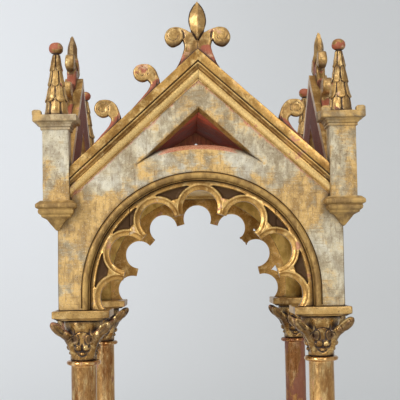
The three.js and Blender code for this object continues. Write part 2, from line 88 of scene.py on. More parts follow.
# Tracery.
TRACERY_RECESS = 5.0
TRACERY_THICKNESS = 12.0
SPANDREL_DEPTH = 4.5
FOIL_COUNT = 7
FOIL_PITCH = math.radians(31)
FOIL_CENTRE = 118.0
FOIL_RADIUS = 24.5
FOIL_RING = 9.0
CUSP_TIP = 111.2
ARCH_BAND = 6.2
TRACERY_JOINTS = (-100.0, 107.0)
BROKEN_HOLES = (
    [[-130.0, 47.8], [-134.0, 48.5], [-141.6, 45.3], [-140.9, 50.5], [-138.6, 57.2], [-135.0, 53.2]],
    [[-99.8, 119.4], [-103.2, 117.6], [-104.6, 119.8], [-101.4, 123.4]],
)
BROKEN_TIP = np.array([-80.6, 98.8])

# Turrets and spires.
TURRET_HALF = 18.25
TURRET_FOOT = 153.5
SHAFT_HEIGHT = 98.0
CAP_HALF = 30.5
CAP_HEIGHT = 20.0
CORBEL_HALF = 28.0
CORBEL_DROP = 41.5
MERLON_WIDTH = 12.6
MERLON_HEIGHT = 7.0
SPIRE_HEIGHT = 106.0
SPIRE_RADIUS = 17.5
SPIRE_BALL = 10.25
SPIRE_LEAVES = 6
SPIRE_FLARES = (1.0, 0.95, 0.73, 0.555)
SPIRE_NECKS = (0.82, 0.62, 0.47, 0.3)

# Carving on the gables.
CARVING_HALF = 7.5
CROCKET_STATIONS = {"left": (79.0, 134.5), "right": (79.0, 137.5)}
CROCKET_RISE = 39.6
CROCKET_RADIUS = 12.4

# Columns, capitals and slabs.
SHAFT_RADIUS = 17.9
PLINTH_HALF = 31.0
PLINTH_HEIGHT = 12.0
BASE_HEIGHT = 26.0
BASE_FLARE = 11.0
ASTRAGAL_HEIGHT = 6.0
POD_CENTRE = (45.5, 45.8)
POD_RISE = math.radians(36)
POD_HALF = (15.5, 6.6, 7.2)
FACE_LOBES = (
    (19.6, -5.2, 19.0, (4.4, 5.6, 4.6)),
    (22.0, -10.6, 31.0, (4.2, 6.8, 8.2)),
    (19.6, 5.2, 19.0, (4.4, 5.6, 4.6)),
    (22.0, 10.6, 31.0, (4.2, 6.8, 8.2)),
    (18.0, 0.0, 10.4, (3.4, 4.8, 3.0)),
)
ABACUS_HALF = 40.0
ABACUS_HEIGHT = 13.5

# Boards inside the upper stage.
INNER_HALF = 181.45
CEILING_LEVEL = 182.0
CEILING_THICKNESS = 10.0
BATTEN_DROP = 5.0
BATTEN_WIDTH = 12.0
ROOF_RIDGE = 297.0
ROOF_THICKNESS = 8.0

FACES = ("front", "right", "back", "left")
CORNERS = ("front_left", "front_right", "back_right", "back_left")


# Noise: hashed values on a lattice, blended smoothly, so that every run gives the same surface.
def lattice(cells, seed):
    h = cells[:, 0] * 374761393 + cells[:, 1] * 668265263 + cells[:, 2] * 2147483647 + seed * 1274126177
    h = h & 0xFFFFFFFF
    h = ((h ^ (h >> 13)) * 1274126177) & 0xFFFFFFFF
    h = ((h ^ (h >> 16)) * 2246822519) & 0xFFFFFFFF
    return ((h ^ (h >> 15)) & 0xFFFFFF) / float(0xFFFFFF) * 2 - 1


def noise(points, size, seed, octaves=1):
    total = np.zeros(len(points))
    share = 1.0
    for octave in range(octaves):
        p = points / size * 2**octave + 17.3 * octave
        cell = np.floor(p).astype(np.int64)
        f = p - cell
        f = f * f * (3 - 2 * f)
        for dx in (0, 1):
            for dy in (0, 1):
                for dz in (0, 1):
                    weight = (f[:, 0] if dx else 1 - f[:, 0]) * (f[:, 1] if dy else 1 - f[:, 1])
                    weight = weight * (f[:, 2] if dz else 1 - f[:, 2])
                    total += share * weight * lattice(cell + np.array([dx, dy, dz]), seed + octave)
        share /= 2
    return total


def smoothstep(low, high, x):
    t = np.clip((x - low) / (high - low), 0, 1)
    return t * t * (3 - 2 * t)


def soft_line(distance, width):
    """1 on a line, fading to 0 on both sides of it."""
    return np.exp(-(distance / width)**2)


# Mesh tools. A piece is (points, triangles) until it becomes a mesh.
def vertex_normals(points, triangles):
    a, b, c = (points[triangles[:, i]] for i in range(3))
    face = np.cross(b - a, c - a)
    normals = np.zeros_like(points)
    for i in range(3):
        for axis in range(3):
            normals[:, axis] += np.bincount(triangles[:, i], face[:, axis], len(points))
    return normals / (np.linalg.norm(normals, axis=1)[:, None] + 1e-12)


def neighbour_mean(values, triangles, count):
    pairs = np.vstack([triangles[:, [0, 1]], triangles[:, [1, 2]], triangles[:, [2, 0]]])
    a, b = np.vstack([pairs, pairs[:, ::-1]]).T
    weight = np.bincount(a, minlength=count) + 1e-9
    if values.ndim == 1:
        return np.bincount(a, values[b], count) / weight
    return np.stack([np.bincount(a, values[b, k], count) / weight for k in range(values.shape[1])], 1)


def curvature(points, triangles, spread=3):
    """How far the surface bends at each point, positive where it is convex, spread a little."""
    count = len(points)
    normals = vertex_normals(points, triangles)
    mean = neighbour_mean(points, triangles, count)
    pairs = np.vstack([triangles[:, [0, 1]], triangles[:, [1, 2]], triangles[:, [2, 0]]])
    reach = np.linalg.norm(points[pairs[:, 0]] - points[pairs[:, 1]], axis=1)
    length = np.bincount(pairs[:, 0], reach**2, count) / (np.bincount(pairs[:, 0], minlength=count) + 1e-9)
    bend = np.einsum("ij,ij->i", points - mean, normals) / (length + 0.05)
    bend = np.clip(bend * 4, -1.5, 1.5)
    for _ in range(spread):
        bend = 0.5 * bend + 0.5 * neighbour_mean(bend, triangles, count)
    return bend


def worn(points, triangles, seed, amount, size, chips):
    """Small unevenness of old hand work: slow waves, finer waves, and edges rubbed down in places."""
    normals = vertex_normals(points, triangles)
    wave = noise(points, size, seed, 3) * amount
    bend = curvature(points, triangles, 2)
    rub = smoothstep(0.1, 0.7, bend) * smoothstep(0.0, 0.9, noise(points, 7.0, seed + 50, 2) + 0.25)
    moved = points + normals * (wave - rub * chips)[:, None]
    moved[:, 2] = np.maximum(moved[:, 2], 0)
    return moved


def build(name, points, triangles, masks, material):
    """Makes the mesh that takes a node's place, with its wear and its paint masks as attributes."""
    mesh = bpy.data.meshes.new(name)
    mesh.vertices.add(len(points))
    mesh.vertices.foreach_set("co", (points * MM).astype(np.float32).ravel())
    mesh.loops.add(triangles.size)
    mesh.loops.foreach_set("vertex_index", triangles.astype(np.int32).ravel())
    mesh.polygons.add(len(triangles))
    mesh.polygons.foreach_set("loop_start", np.arange(0, triangles.size, 3, dtype=np.int32))
    mesh.polygons.foreach_set("use_smooth", np.ones(len(triangles), bool))
    mesh.update(calc_edges=True)
    mesh.validate()
    mesh.set_sharp_from_angle(angle=SMOOTH_ANGLE)
    bend = curvature(points, triangles)
    masks = {"edge": np.clip(bend, 0, 1), "hollow": np.clip(-bend, 0, 1), **masks}
    for label, values in masks.items():
        attribute = mesh.attributes.new(label, "FLOAT", "POINT")
        attribute.data.foreach_set("value", values.astype(np.float32))
    piece = bpy.data.objects.new(name, mesh)
    bpy.context.scene.collection.objects.link(piece)
    mesh.materials.append(material)
    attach(piece, "root")
    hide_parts(name)


def turned_round(points, quarter):
    """Turns points about the canopy's axis by quarters, as the frame's faces and corners are."""
    angle = quarter * math.pi / 2
    c, s = round(math.cos(angle)), round(math.sin(angle))
    x, y, z = points.T
    return np.stack([c * x - s * y, s * x + c * y, z], 1)


def lifted(points, height):
    return points + np.array([0, 0, height])


def loft(rings):
    """A closed skin over rings that run counter-clockwise seen from the last ring's side."""
    rings = np.asarray(rings, float)
    rows, columns, _ = rings.shape
    points = np.vstack([rings.reshape(-1, 3), rings[0].mean(0), rings[-1].mean(0)])
    i, j = (index.ravel() for index in np.meshgrid(np.arange(rows - 1), np.arange(columns), indexing="ij"))
    k = (j + 1) % columns
    a, b, c, d = i * columns + j, i * columns + k, (i + 1) * columns + k, (i + 1) * columns + j
    here = np.arange(columns)
    after = (here + 1) % columns
    top, low, high = (rows - 1) * columns, rows * columns, rows * columns + 1
    return points, np.vstack([
        np.stack([a, b, c], 1),
        np.stack([a, c, d], 1),
        np.stack([after, here, np.full(columns, low)], 1),
        np.stack([top + here, top + after, np.full(columns, high)], 1),
    ])


def merged(parts):
    points, triangles, count = [], [], 0
    for p, t in parts:
        points.append(p)
        triangles.append(t + count)
        count += len(p)
    return np.vstack(points), np.vstack(triangles)


def mirrored(points, triangles, *masks):
    return (points * [-1, 1, 1], triangles[:, ::-1], *masks)


def signed_volume(points, triangles):
    a, b, c = (points[triangles[:, i]] for i in range(3))
    return float(np.einsum("ij,ij->i", a, np.cross(b, c)).sum() / 6)


def arc(cx, cy, radius, start, end, count):
    angles = np.radians(np.linspace(start, end, count))
    return np.stack([cx + radius * np.cos(angles), cy + radius * np.sin(angles)], 1)


def eased(profile, radius):
    """A profile with its corners rounded by short curves."""
    points = np.asarray(profile, float)
    out = [points[0]]
    for before, here, after in zip(points, points[1:], points[2:]):
        in_leg, out_leg = before - here, after - here
        in_length, out_length = np.linalg.norm(in_leg), np.linalg.norm(out_leg)
        cut = min(radius, in_length * 0.45, out_length * 0.45)
        start, end = here + in_leg / in_length * cut, here + out_leg / out_length * cut
        for t in np.linspace(0, 1, 4):
            out.append((1 - t)**2 * start + 2 * t * (1 - t) * here + t**2 * end)
    return np.array([*out, points[-1]])


def stepped(profile, step):
    """A profile with long stretches divided, so that the surface between can be uneven."""
    points = np.asarray(profile, float)
    out = [points[:1]]
    for a, b in zip(points[:-1], points[1:]):
        pieces = max(1, int(math.ceil(np.linalg.norm(b - a) / step)))
        out.append(a + (b - a) * (np.arange(1, pieces + 1) / pieces)[:, None])
    return np.vstack(out)


# Flat carved boards, drawn in the gable's plane: x across, z up, seen from the front.
def closed_steps(loop, step):
    return stepped(np.vstack([loop, loop[:1]]), step)[:-1]


def signed_area(loop):
    x, y = loop.T
    return 0.5 * np.sum(x * np.roll(y, -1) - np.roll(x, -1) * y)


def inward(loop):
    """Unit vectors at a loop's points to the side that the board is on, its left."""
    edge = np.roll(loop, -1, 0) - loop
    left = np.stack([-edge[:, 1], edge[:, 0]], 1)
    left /= np.linalg.norm(left, axis=1)[:, None] + 1e-12
    both = left + np.roll(left, 1, 0)
    return both / (np.linalg.norm(both, axis=1)[:, None] + 1e-12)


def loop_distance(loops, points):
    best = np.full(len(points), 1e9)
    for loop in loops:
        a, b = loop, np.roll(loop, -1, 0)
        leg = b - a
        square = np.einsum("ij,ij->i", leg, leg) + 1e-12
        for start in range(0, len(points), 4000):
            p = points[start:start + 4000]
            rel = p[:, None, :] - a[None]
            t = np.clip(np.einsum("nij,ij->ni", rel, leg) / square, 0, 1)
            gap = rel - t[..., None] * leg
            near = np.sqrt(np.einsum("nij,nij->ni", gap, gap).min(1))
            best[start:start + 4000] = np.minimum(best[start:start + 4000], near)
    return best


def inside(loops, points):
    count = np.zeros(len(points), int)
    x, z = points[:, 0][:, None], points[:, 1][:, None]
    for loop in loops:
        a, b = loop, np.roll(loop, -1, 0)
        crosses = (a[:, 1] > z) != (b[:, 1] > z)
        with np.errstate(divide="ignore", invalid="ignore"):
            at = a[:, 0] + (z - a[:, 1]) * (b[:, 0] - a[:, 0]) / (b[:, 1] - a[:, 1])
        count += np.sum(crosses & (x < at), 1)
    return count % 2 == 1


def fill(loops, rows, spacing, extra=None):
    """Triangulates a board's face: its outline, rows of points along the outline, chosen points and
    a grid. Returns the points, the triangles and where each loop's points are."""
    def clear(points, margin):
        return points[(loop_distance(loops, points) > margin) & inside(loops, points)]

    keep = [clear(loop + inward(loop) * row, row * 0.93) for row in rows for loop in loops]
    margin = (rows[-1] if rows else 0) + spacing * 0.35
    low, high = np.vstack(loops).min(0), np.vstack(loops).max(0)
    gx, gz = np.meshgrid(np.arange(low[0], high[0], spacing), np.arange(low[1], high[1], spacing * 0.866))
    gx = gx + (np.arange(gx.shape[0]) % 2)[:, None] * spacing / 2
    grid = clear(np.stack([gx.ravel(), gz.ravel()], 1), margin)
    if extra is not None:
        extra = clear(extra, margin)
        keep.append(extra)
        grid = grid[~near_any(grid, extra, spacing * 0.6)]
    points = np.vstack([*loops, *keep, grid])
    starts = np.cumsum([0] + [len(loop) for loop in loops]).tolist()
    edges = [(start + i, start + (i + 1) % len(loop)) for start, loop in zip(starts, loops)
             for i in range(len(loop))]
    flat = [Vector(p) for p in points.tolist()]
    places, _, faces, origins, *_ = delaunay_2d_cdt(flat, edges, [], 0, 1e-6)
    found = np.array([tuple(v) for v in places])
    triangles = np.array([face for face in faces if len(face) == 3])
    where = {source: i for i, sources in enumerate(origins) for source in sources}
    index = np.array([where[i] for i in range(starts[-1])])
    triangles = triangles[inside(loops, found[triangles].mean(1))]
    a, b, c = (found[triangles[:, i]] for i in range(3))
    area = (b[:, 0] - a[:, 0]) * (c[:, 1] - a[:, 1]) - (c[:, 0] - a[:, 0]) * (b[:, 1] - a[:, 1])
    triangles[area < 0] = triangles[area < 0][:, ::-1]
    return found, triangles, [index[start:end] for start, end in zip(starts, starts[1:])]


def near_any(points, others, reach):
    """Which points have one of the others in the same or a neighbouring cell of that size."""
    cells = set(map(tuple, np.floor(others / reach).astype(int)))
    out = np.zeros(len(points), bool)
    for i, (x, z) in enumerate(np.floor(points / reach).astype(int)):
        out[i] = any((x + dx, z + dz) in cells for dx in (-1, 0, 1) for dz in (-1, 0, 1))
    return out


def board(front, back, front_height, back_height, wall, front_rows, back_rows, spacings, extra=None):
    """A carved board between a front and a back outline with as many points. The heights give y at
    (x, z), and wall lists (share of the thickness, share of the way to the back outline)."""
    f_points, f_triangles, f_loops = fill(front, front_rows, spacings[0], extra)
    b_points, b_triangles, b_loops = fill(back, back_rows, spacings[1])
    f3 = np.stack([f_points[:, 0], front_height(f_points), f_points[:, 1]], 1)
    b3 = np.stack([b_points[:, 0], back_height(b_points), b_points[:, 1]], 1)
    points = [f3, b3]
    count = len(f3) + len(b3)
    triangles = [f_triangles, b_triangles[:, ::-1] + len(f3)]
    for front_loop, back_loop in zip(f_loops, b_loops):
        rings = [front_loop]
        start, end = f3[front_loop], b3[back_loop]
        for depth, share in wall:
            ring = start + (end - start) * share
            ring[:, 1] = start[:, 1] + (end[:, 1] - start[:, 1]) * depth
            points.append(ring)
            rings.append(np.arange(count, count + len(ring)))
            count += len(ring)
        rings.append(back_loop + len(f3))
        for near, far in zip(rings[:-1], rings[1:]):
            near_next, far_next = np.roll(near, -1), np.roll(far, -1)
            triangles.append(np.stack([near, far, far_next], 1))
            triangles.append(np.stack([near, far_next, near_next], 1))
    return np.vstack(points), np.vstack(triangles)


def arch_line(radius, foot, count):
    """A stilted round arch from its right foot over the crown to its left foot."""
    angles = np.linspace(0, math.pi, count)
    crown = np.stack([radius * np.cos(angles), ARCH_STILT + radius * np.sin(angles)], 1)
    return np.vstack([[radius, foot], crown, [-radius, foot]])


def arch_distance(points):
    """How far points lie from the arch's centre line, out along its radii."""
    x, z = points.T
    above = np.hypot(x, z - ARCH_STILT)
    return np.where(z > ARCH_STILT, above, np.abs(x))


def curve(points, steps):
    """A smooth line through the points."""
    points = np.asarray(points, float)
    last = len(points) - 1
    out = []
    for i in range(last):
        p0, p1, p2, p3 = (points[min(max(i + k, 0), last)] for k in (-1, 0, 1, 2))
        for t in np.arange(steps) / steps:
            out.append(0.5 * (2 * p1 + (p2 - p0) * t + (2 * p0 - 5 * p1 + 4 * p2 - p3) * t**2
                              + (3 * p1 - p0 - 3 * p2 + p3) * t**3))
    return np.array([*out, points[-1]])


def rounding(distance, radius):
    """How far an edge of that radius falls back at a distance from the outline."""
    t = 1 - np.clip(distance / radius, 0, 1)
    return radius * (1 - np.sqrt(1 - np.clip(t, 0, 1)**2 + 1e-9))


# Panels.
def light_loop(apex, sill_radius, side_count=26, sill_count=44):
    """The three-sided light's outline, clockwise from its left corner."""
    rise = apex - ARCH_STILT
    square = 1 + GABLE_SLOPE**2
    root = math.sqrt((GABLE_SLOPE * rise)**2 - square * (rise**2 - sill_radius**2))
    half = (GABLE_SLOPE * rise - root) / square
    foot = apex - half * GABLE_SLOPE
    t = np.arange(side_count)[:, None] / side_count
    left = np.array([[-half, foot]]) * (1 - t) + np.array([[0, apex]]) * t
    right = np.array([[0, apex]]) * (1 - t) + np.array([[half, foot]]) * t
    reach = math.asin(half / sill_radius)
    angles = np.linspace(reach, -reach, sill_count + 1)[:-1]
    sill = np.stack([sill_radius * np.sin(angles), ARCH_STILT + sill_radius * np.cos(angles)], 1)
    return np.vstack([left, right, sill])


def panel_masks(points, light_front, light_back):
    """Where a panel is gilt, red or bare wood, and where it is painted like the ceiling."""
    plane = points[:, [0, 2]]
    depth = points[:, 1] + HALF_WIDTH
    reach = arch_distance(plane) - ARCH_RADIUS
    light = loop_distance([light_front, light_back], plane)
    in_light = (light < 8.2) & (inside([light_front], plane) | (light < 0.9))
    sill = np.hypot(plane[:, 0], plane[:, 1] - ARCH_STILT) < LIGHT_SILL_RADIUS + LIGHT_SILL_RISE + 0.4
    reveal = in_light & (depth > 0.5)
    back = depth > PANEL_THICKNESS - 0.2
    apex = GABLE_HEIGHT - (COPING + RAKE_DEPTH) / GABLE_COS
    below_rake = (apex - GABLE_SLOPE * np.abs(plane[:, 0]) - plane[:, 1]) * GABLE_COS
    return {
        "gilt": np.maximum(smoothstep(11.9, 11.1, reach), (reveal & ~sill) * 1.0),
        "ochre": smoothstep(46.0, 20.0, reach) * smoothstep(90.0, 150.0, plane[:, 1]) + 0.8 * (light < 2.5),
        "red": np.maximum(1.1 * smoothstep(7.0, 0.0, np.abs(below_rake)),
                          (reveal & sill) * 1.5 * smoothstep(74, 40, np.abs(plane[:, 0]))),
        "bare": (back & (plane[:, 1] > CEILING_LEVEL)) * 1.0,
        "inside": (back & (plane[:, 1] <= CEILING_LEVEL)) * 1.0,
    }


def panel_shape():
    shoulder = TURRET_FOOT - JOINT
    rake_end = HALF_WIDTH - TURRET_HALF - JOINT
    apex = GABLE_HEIGHT - (COPING + JOINT) / GABLE_COS
    opening = arch_line(ARCH_RADIUS, JOINT, 160)[::-1]
    outline = np.vstack([
        [[-HALF_WIDTH, JOINT]],
        opening,
        [[HALF_WIDTH, JOINT], [HALF_WIDTH, shoulder], [rake_end, shoulder]],
        [[rake_end, apex - rake_end * GABLE_SLOPE], [0, apex], [-rake_end, apex - rake_end * GABLE_SLOPE]],
        [[-rake_end, shoulder], [-HALF_WIDTH, shoulder]],
    ])
    outer = closed_steps(outline, 3.2)
    light_front = light_loop(LIGHT_APEX, LIGHT_SILL_RADIUS)
    light_back = light_loop(LIGHT_APEX - LIGHT_SPLAY / GABLE_COS, LIGHT_SILL_RADIUS + LIGHT_SILL_RISE)
    roll_rows = [3.5, 4.4, 5.4, 6.4, 7.4, 8.4, 9.3, 10.1, 10.7, 11.2, 11.7, 12.4]
    rows = [stepped(arch_line(ARCH_RADIUS + u, JOINT + 1, 170), 3.0) for u in roll_rows]

    def front(points):
        distance = loop_distance([outer, light_front], points)
        u = arch_distance(points) - ARCH_RADIUS
        roll = ROLL_PROJECTION * np.sqrt(np.clip(1 - ((u - 6.25) / 4.4)**2, 0, 1))
        quirks = 1.1 * soft_line(u - 1.45, 0.45) + 1.3 * soft_line(u - 11.2, 0.5)
        return -HALF_WIDTH + rounding(distance, 1.3) - roll + quirks

    def back(points):
        return np.full(len(points), -HALF_WIDTH + PANEL_THICKNESS)

    wall = [(0.03, 0.12), (0.1, 0.3), (0.3, 0.56), (0.58, 1.0), (0.8, 1.0)]
    edge_rows = [0.45, 1.0, 1.45, 1.9, 2.4]
    points, triangles = board([outer, light_front], [outer, light_back], front, back, wall, edge_rows, [],
                              (3.1, 7.0), np.vstack(rows))
    depth = np.clip(points[:, 1] + HALF_WIDTH, 0, PANEL_THICKNESS) + JOINT / math.sqrt(2)
    x, z = np.abs(points[:, 0]), points[:, 2]
    mitre = HALF_WIDTH - MITRE_START
    mitred = np.where(x > MITRE_START, MITRE_START + (x - MITRE_START) * (mitre - depth) / mitre, x)
    x = np.where(z < shoulder + 0.01, mitred, np.minimum(x, HALF_WIDTH - depth))
    points[:, 0] = np.sign(points[:, 0]) * x
    return points, triangles, panel_masks(points, light_front, light_back)


# Tracery.
def foil_centre(index):
    angle = (index - (FOIL_COUNT - 1) / 2) * FOIL_PITCH
    return angle, np.array([FOIL_CENTRE * math.sin(angle), ARCH_STILT + FOIL_CENTRE * math.cos(angle)])


def foil_arc(index, radius, start, end, step):
    """Points on a circle round a foil's centre, between two angles from its outward direction."""
    angle, centre = foil_centre(index)
    count = max(2, int(abs(end - start) * radius / step) + 1)
    turn = angle + np.linspace(start, end, count)
    return centre + radius * np.stack([np.sin(turn), np.cos(turn)], 1)


def foil_distance(points):
    gaps = [np.linalg.norm(points - foil_centre(i)[1], axis=1) - FOIL_RADIUS for i in range(FOIL_COUNT)]
    return np.min(gaps, 0)


def foot_angle(radius):
    angle, centre = foil_centre(FOIL_COUNT - 1)
    return math.pi - math.acos((centre[1] - JOINT) / radius) - angle


def spandrel(index, step=1.6):
    """The sunk spandrel between two foils and the arch band, clockwise."""
    radius = FOIL_RADIUS + FOIL_RING
    band = ARCH_RADIUS - JOINT - ARCH_BAND
    angle, _ = foil_centre(index)
    reach = math.acos((band**2 - FOIL_CENTRE**2 - radius**2) / (2 * FOIL_CENTRE * radius))
    left = foil_arc(index, radius, reach + 0.12, math.radians(68), step)
    axis = angle + FOIL_PITCH / 2
    x, z = left[:, 0], left[:, 1] - ARCH_STILT
    turn = 2 * axis - np.arctan2(x, z)
    far = np.hypot(x, z)
    right = np.stack([far * np.sin(turn), ARCH_STILT + far * np.cos(turn)], 1)
    sides = np.arctan2(left[0, 0], left[0, 1] - ARCH_STILT)
    turns = np.linspace(2 * axis - sides, sides, 14)[1:-1]
    crown = np.stack([band * np.sin(turns), ARCH_STILT + band * np.cos(turns)], 1)
    loop = np.vstack([left, right[::-1], crown])
    return loop[::-1] if signed_area(loop) > 0 else loop


def tracery_shape(broken=False):
    """A cusped tracery board. The broken one has two holes and has lost the tip of a cusp."""
    front_face = -HALF_WIDTH + TRACERY_RECESS
    back_face = front_face + TRACERY_THICKNESS
    below = FOIL_CENTRE * math.cos(FOIL_PITCH / 2) - CUSP_TIP
    reach = math.pi / 2 + FOIL_PITCH / 2 + math.asin(below / FOIL_RADIUS)
    arcs = []
    for i in range(FOIL_COUNT):
        start = -foot_angle(FOIL_RADIUS) if i == 0 else -reach
        end = foot_angle(FOIL_RADIUS) if i == FOIL_COUNT - 1 else reach
        arcs.append(foil_arc(i, FOIL_RADIUS, start, end, 1.6))
    outer = closed_steps(np.vstack([arch_line(ARCH_RADIUS - JOINT, JOINT, 150), *arcs]), 2.2)
    pockets = [closed_steps(spandrel(i), 1.5) for i in range(FOIL_COUNT - 1)]
    outlines = [outer]
    if broken:
        away = outer - BROKEN_TIP
        reach = np.linalg.norm(away, axis=1)[:, None]
        outer += away / reach * (2.6 * smoothstep(12, 3, reach)) * (1 + 0.6 * np.sin(2.1 * outer[:, :1]))
        outlines += [closed_steps(np.array(hole), 1.5) for hole in BROKEN_HOLES]
    rows = []
    for i in range(FOIL_COUNT):
        for d in (1.6, 2.5, 3.4, 4.3, 5.1, 5.8, 6.4, 6.9, 7.5):
            ring = foil_arc(i, FOIL_RADIUS + d, -2.6, 2.6, 1.7)
            rows.append(ring[foil_distance(ring) > d - 0.02])
    for pocket in pockets:
        rows += [pocket + inward(pocket) * shift for shift in (0.35, -0.25, -1.3, -2.6)]
    for x in TRACERY_JOINTS:
        for shift in (-0.9, -0.35, 0, 0.35, 0.9):
            heights = np.arange(20, 150, 1.2)
            rows.append(np.stack([np.full(len(heights), x + shift), heights], 1))

    def sunk(points):
        """How deep a point lies in a spandrel: cut down steeply, then sloping to the middle."""
        gap = loop_distance(pockets, points)
        depth = np.minimum(SPANDREL_DEPTH - 0.3, 2.0 + 0.75 * gap)
        return np.where(inside(pockets, points), depth * smoothstep(0.0, 0.3, gap), 0)

    def front(points):
        d = foil_distance(points)
        u = np.clip(d / 6.6, 0, 1)
        hollow = 4.9 * (1 - (0.55 * u**2.2 + 0.45 * (1 - np.sqrt(1 - u**2 + 1e-9))))
        band = 0.9 * smoothstep(9.2, 10.4, d) + 1.4 * smoothstep(150.5, 156, arch_distance(points))
        fall = np.where(d < 6.6, hollow, band)
        edge = rounding(loop_distance(outlines, points), 0.9)
        split = sum(0.9 * soft_line(points[:, 0] - x, 0.4) for x in TRACERY_JOINTS)
        return front_face + fall + edge + split + sunk(points)

    def back(points):
        split = sum(0.7 * soft_line(points[:, 0] - x, 0.5) for x in TRACERY_JOINTS)
        return back_face - rounding(np.abs(foil_distance(points)), 1.0) - split

    points, triangles = board(outlines, outlines, front, back, [(0.15, 0), (0.5, 0), (0.85, 0)], [0.4, 0.9],
                              [0.5, 1.1], (2.1, 3.4), np.vstack(rows))
    plane = points[:, [0, 2]]
    # Painted shade in the sunk spandrels and a painted highlight along the fillet round the foils.
    deep = smoothstep(1.0, 3.0, sunk(plane)) * (points[:, 1] < front_face + 8)
    fillet = soft_line(foil_distance(plane) - 8.0, 1.1) * (points[:, 1] < front_face + 2)
    return points, triangles, {"dark": deep * 1.12, "light": fillet * 0.7}


# Rake mouldings: coping, groove, bead, hollow and ovolo.
def rake_shape():
    """The right slope's moulding, drawn as (distance down from the coping's top, y)."""
    back = -HALF_WIDTH + PANEL_THICKNESS
    front = -HALF_WIDTH - RAKE_PROJECTION
    face = -HALF_WIDTH - JOINT
    foot = COPING + RAKE_DEPTH
    half_turn = np.linspace(0, math.pi, 9)
    coping = eased([[0, back], [0, front], [COPING - 0.5, front], [COPING - 0.1, front + 3.6]], 1.1)
    bead = np.stack([COPING + 0.5 + 3.0 * half_turn / math.pi, front + 3.9 - 1.6 * np.sin(half_turn)], 1)
    hollow = np.stack([COPING + 3.7 + 4.6 * half_turn / math.pi, front + 4.6 + 2.2 * np.sin(half_turn)], 1)
    ovolo = curve([[COPING + 8.3, front + 5.4], [COPING + 9.3, front + 4.6], [COPING + 12.4, front + 5.0],
                   [COPING + 15.6, front + 7.0], [foot - 2.2, front + 9.8]], 4)
    lower = [[foot - 2.0, face - 0.7], [foot, face - 0.5], [foot, face], [COPING, face], [COPING, back]]
    section = stepped(np.vstack([coping, bead, hollow, ovolo, lower]), 6.0)
    length = HALF_WIDTH - TURRET_HALF - JOINT
    rings = []
    for along in np.linspace(JOINT / 2, length, 84):
        z = GABLE_HEIGHT - section[:, 0] / GABLE_COS - GABLE_SLOPE * along
        rings.append(np.stack([np.full(len(section), along), section[:, 1], z], 1))
    points, triangles = loft(rings)
    down = (GABLE_HEIGHT - points[:, 2] - GABLE_SLOPE * points[:, 0]) * GABLE_COS - COPING
    seen = points[:, 1] < face - 0.5
    # Painted highlight on the ovolo and the bead; painted shade in the groove above the bead, at the top of
    # the hollow and under the ovolo.
    light = smoothstep(9.0, 10.6, down) * smoothstep(18.2, 17.4, down) + 0.6 * soft_line(down - 2.0, 1.0)
    dark = 0.6 * soft_line(down - 4.2, 0.6) + soft_line(down - 0.1, 0.5) + smoothstep(17.9, 18.2, down)
    return points, triangles, {"light": light * seen, "dark": np.minimum(dark, 1) * seen}


def unseated(outline, above):
    """The outline with its seat on the coping moved away, so that edges are not rounded there."""
    away = outline.copy()
    away[above < 0.6] -= [0, 14]
    return away


def carving(outline, relief, spacings):
    """A carving cut alike from both sides, centred on the gable's plane."""
    rows = [0.4, 1.0, 1.8]
    return board([outline], [outline], lambda p: -HALF_WIDTH - relief(p), lambda p: -HALF_WIDTH + relief(p),
                 [(0.33, 0), (0.67, 0)], rows, rows, spacings)


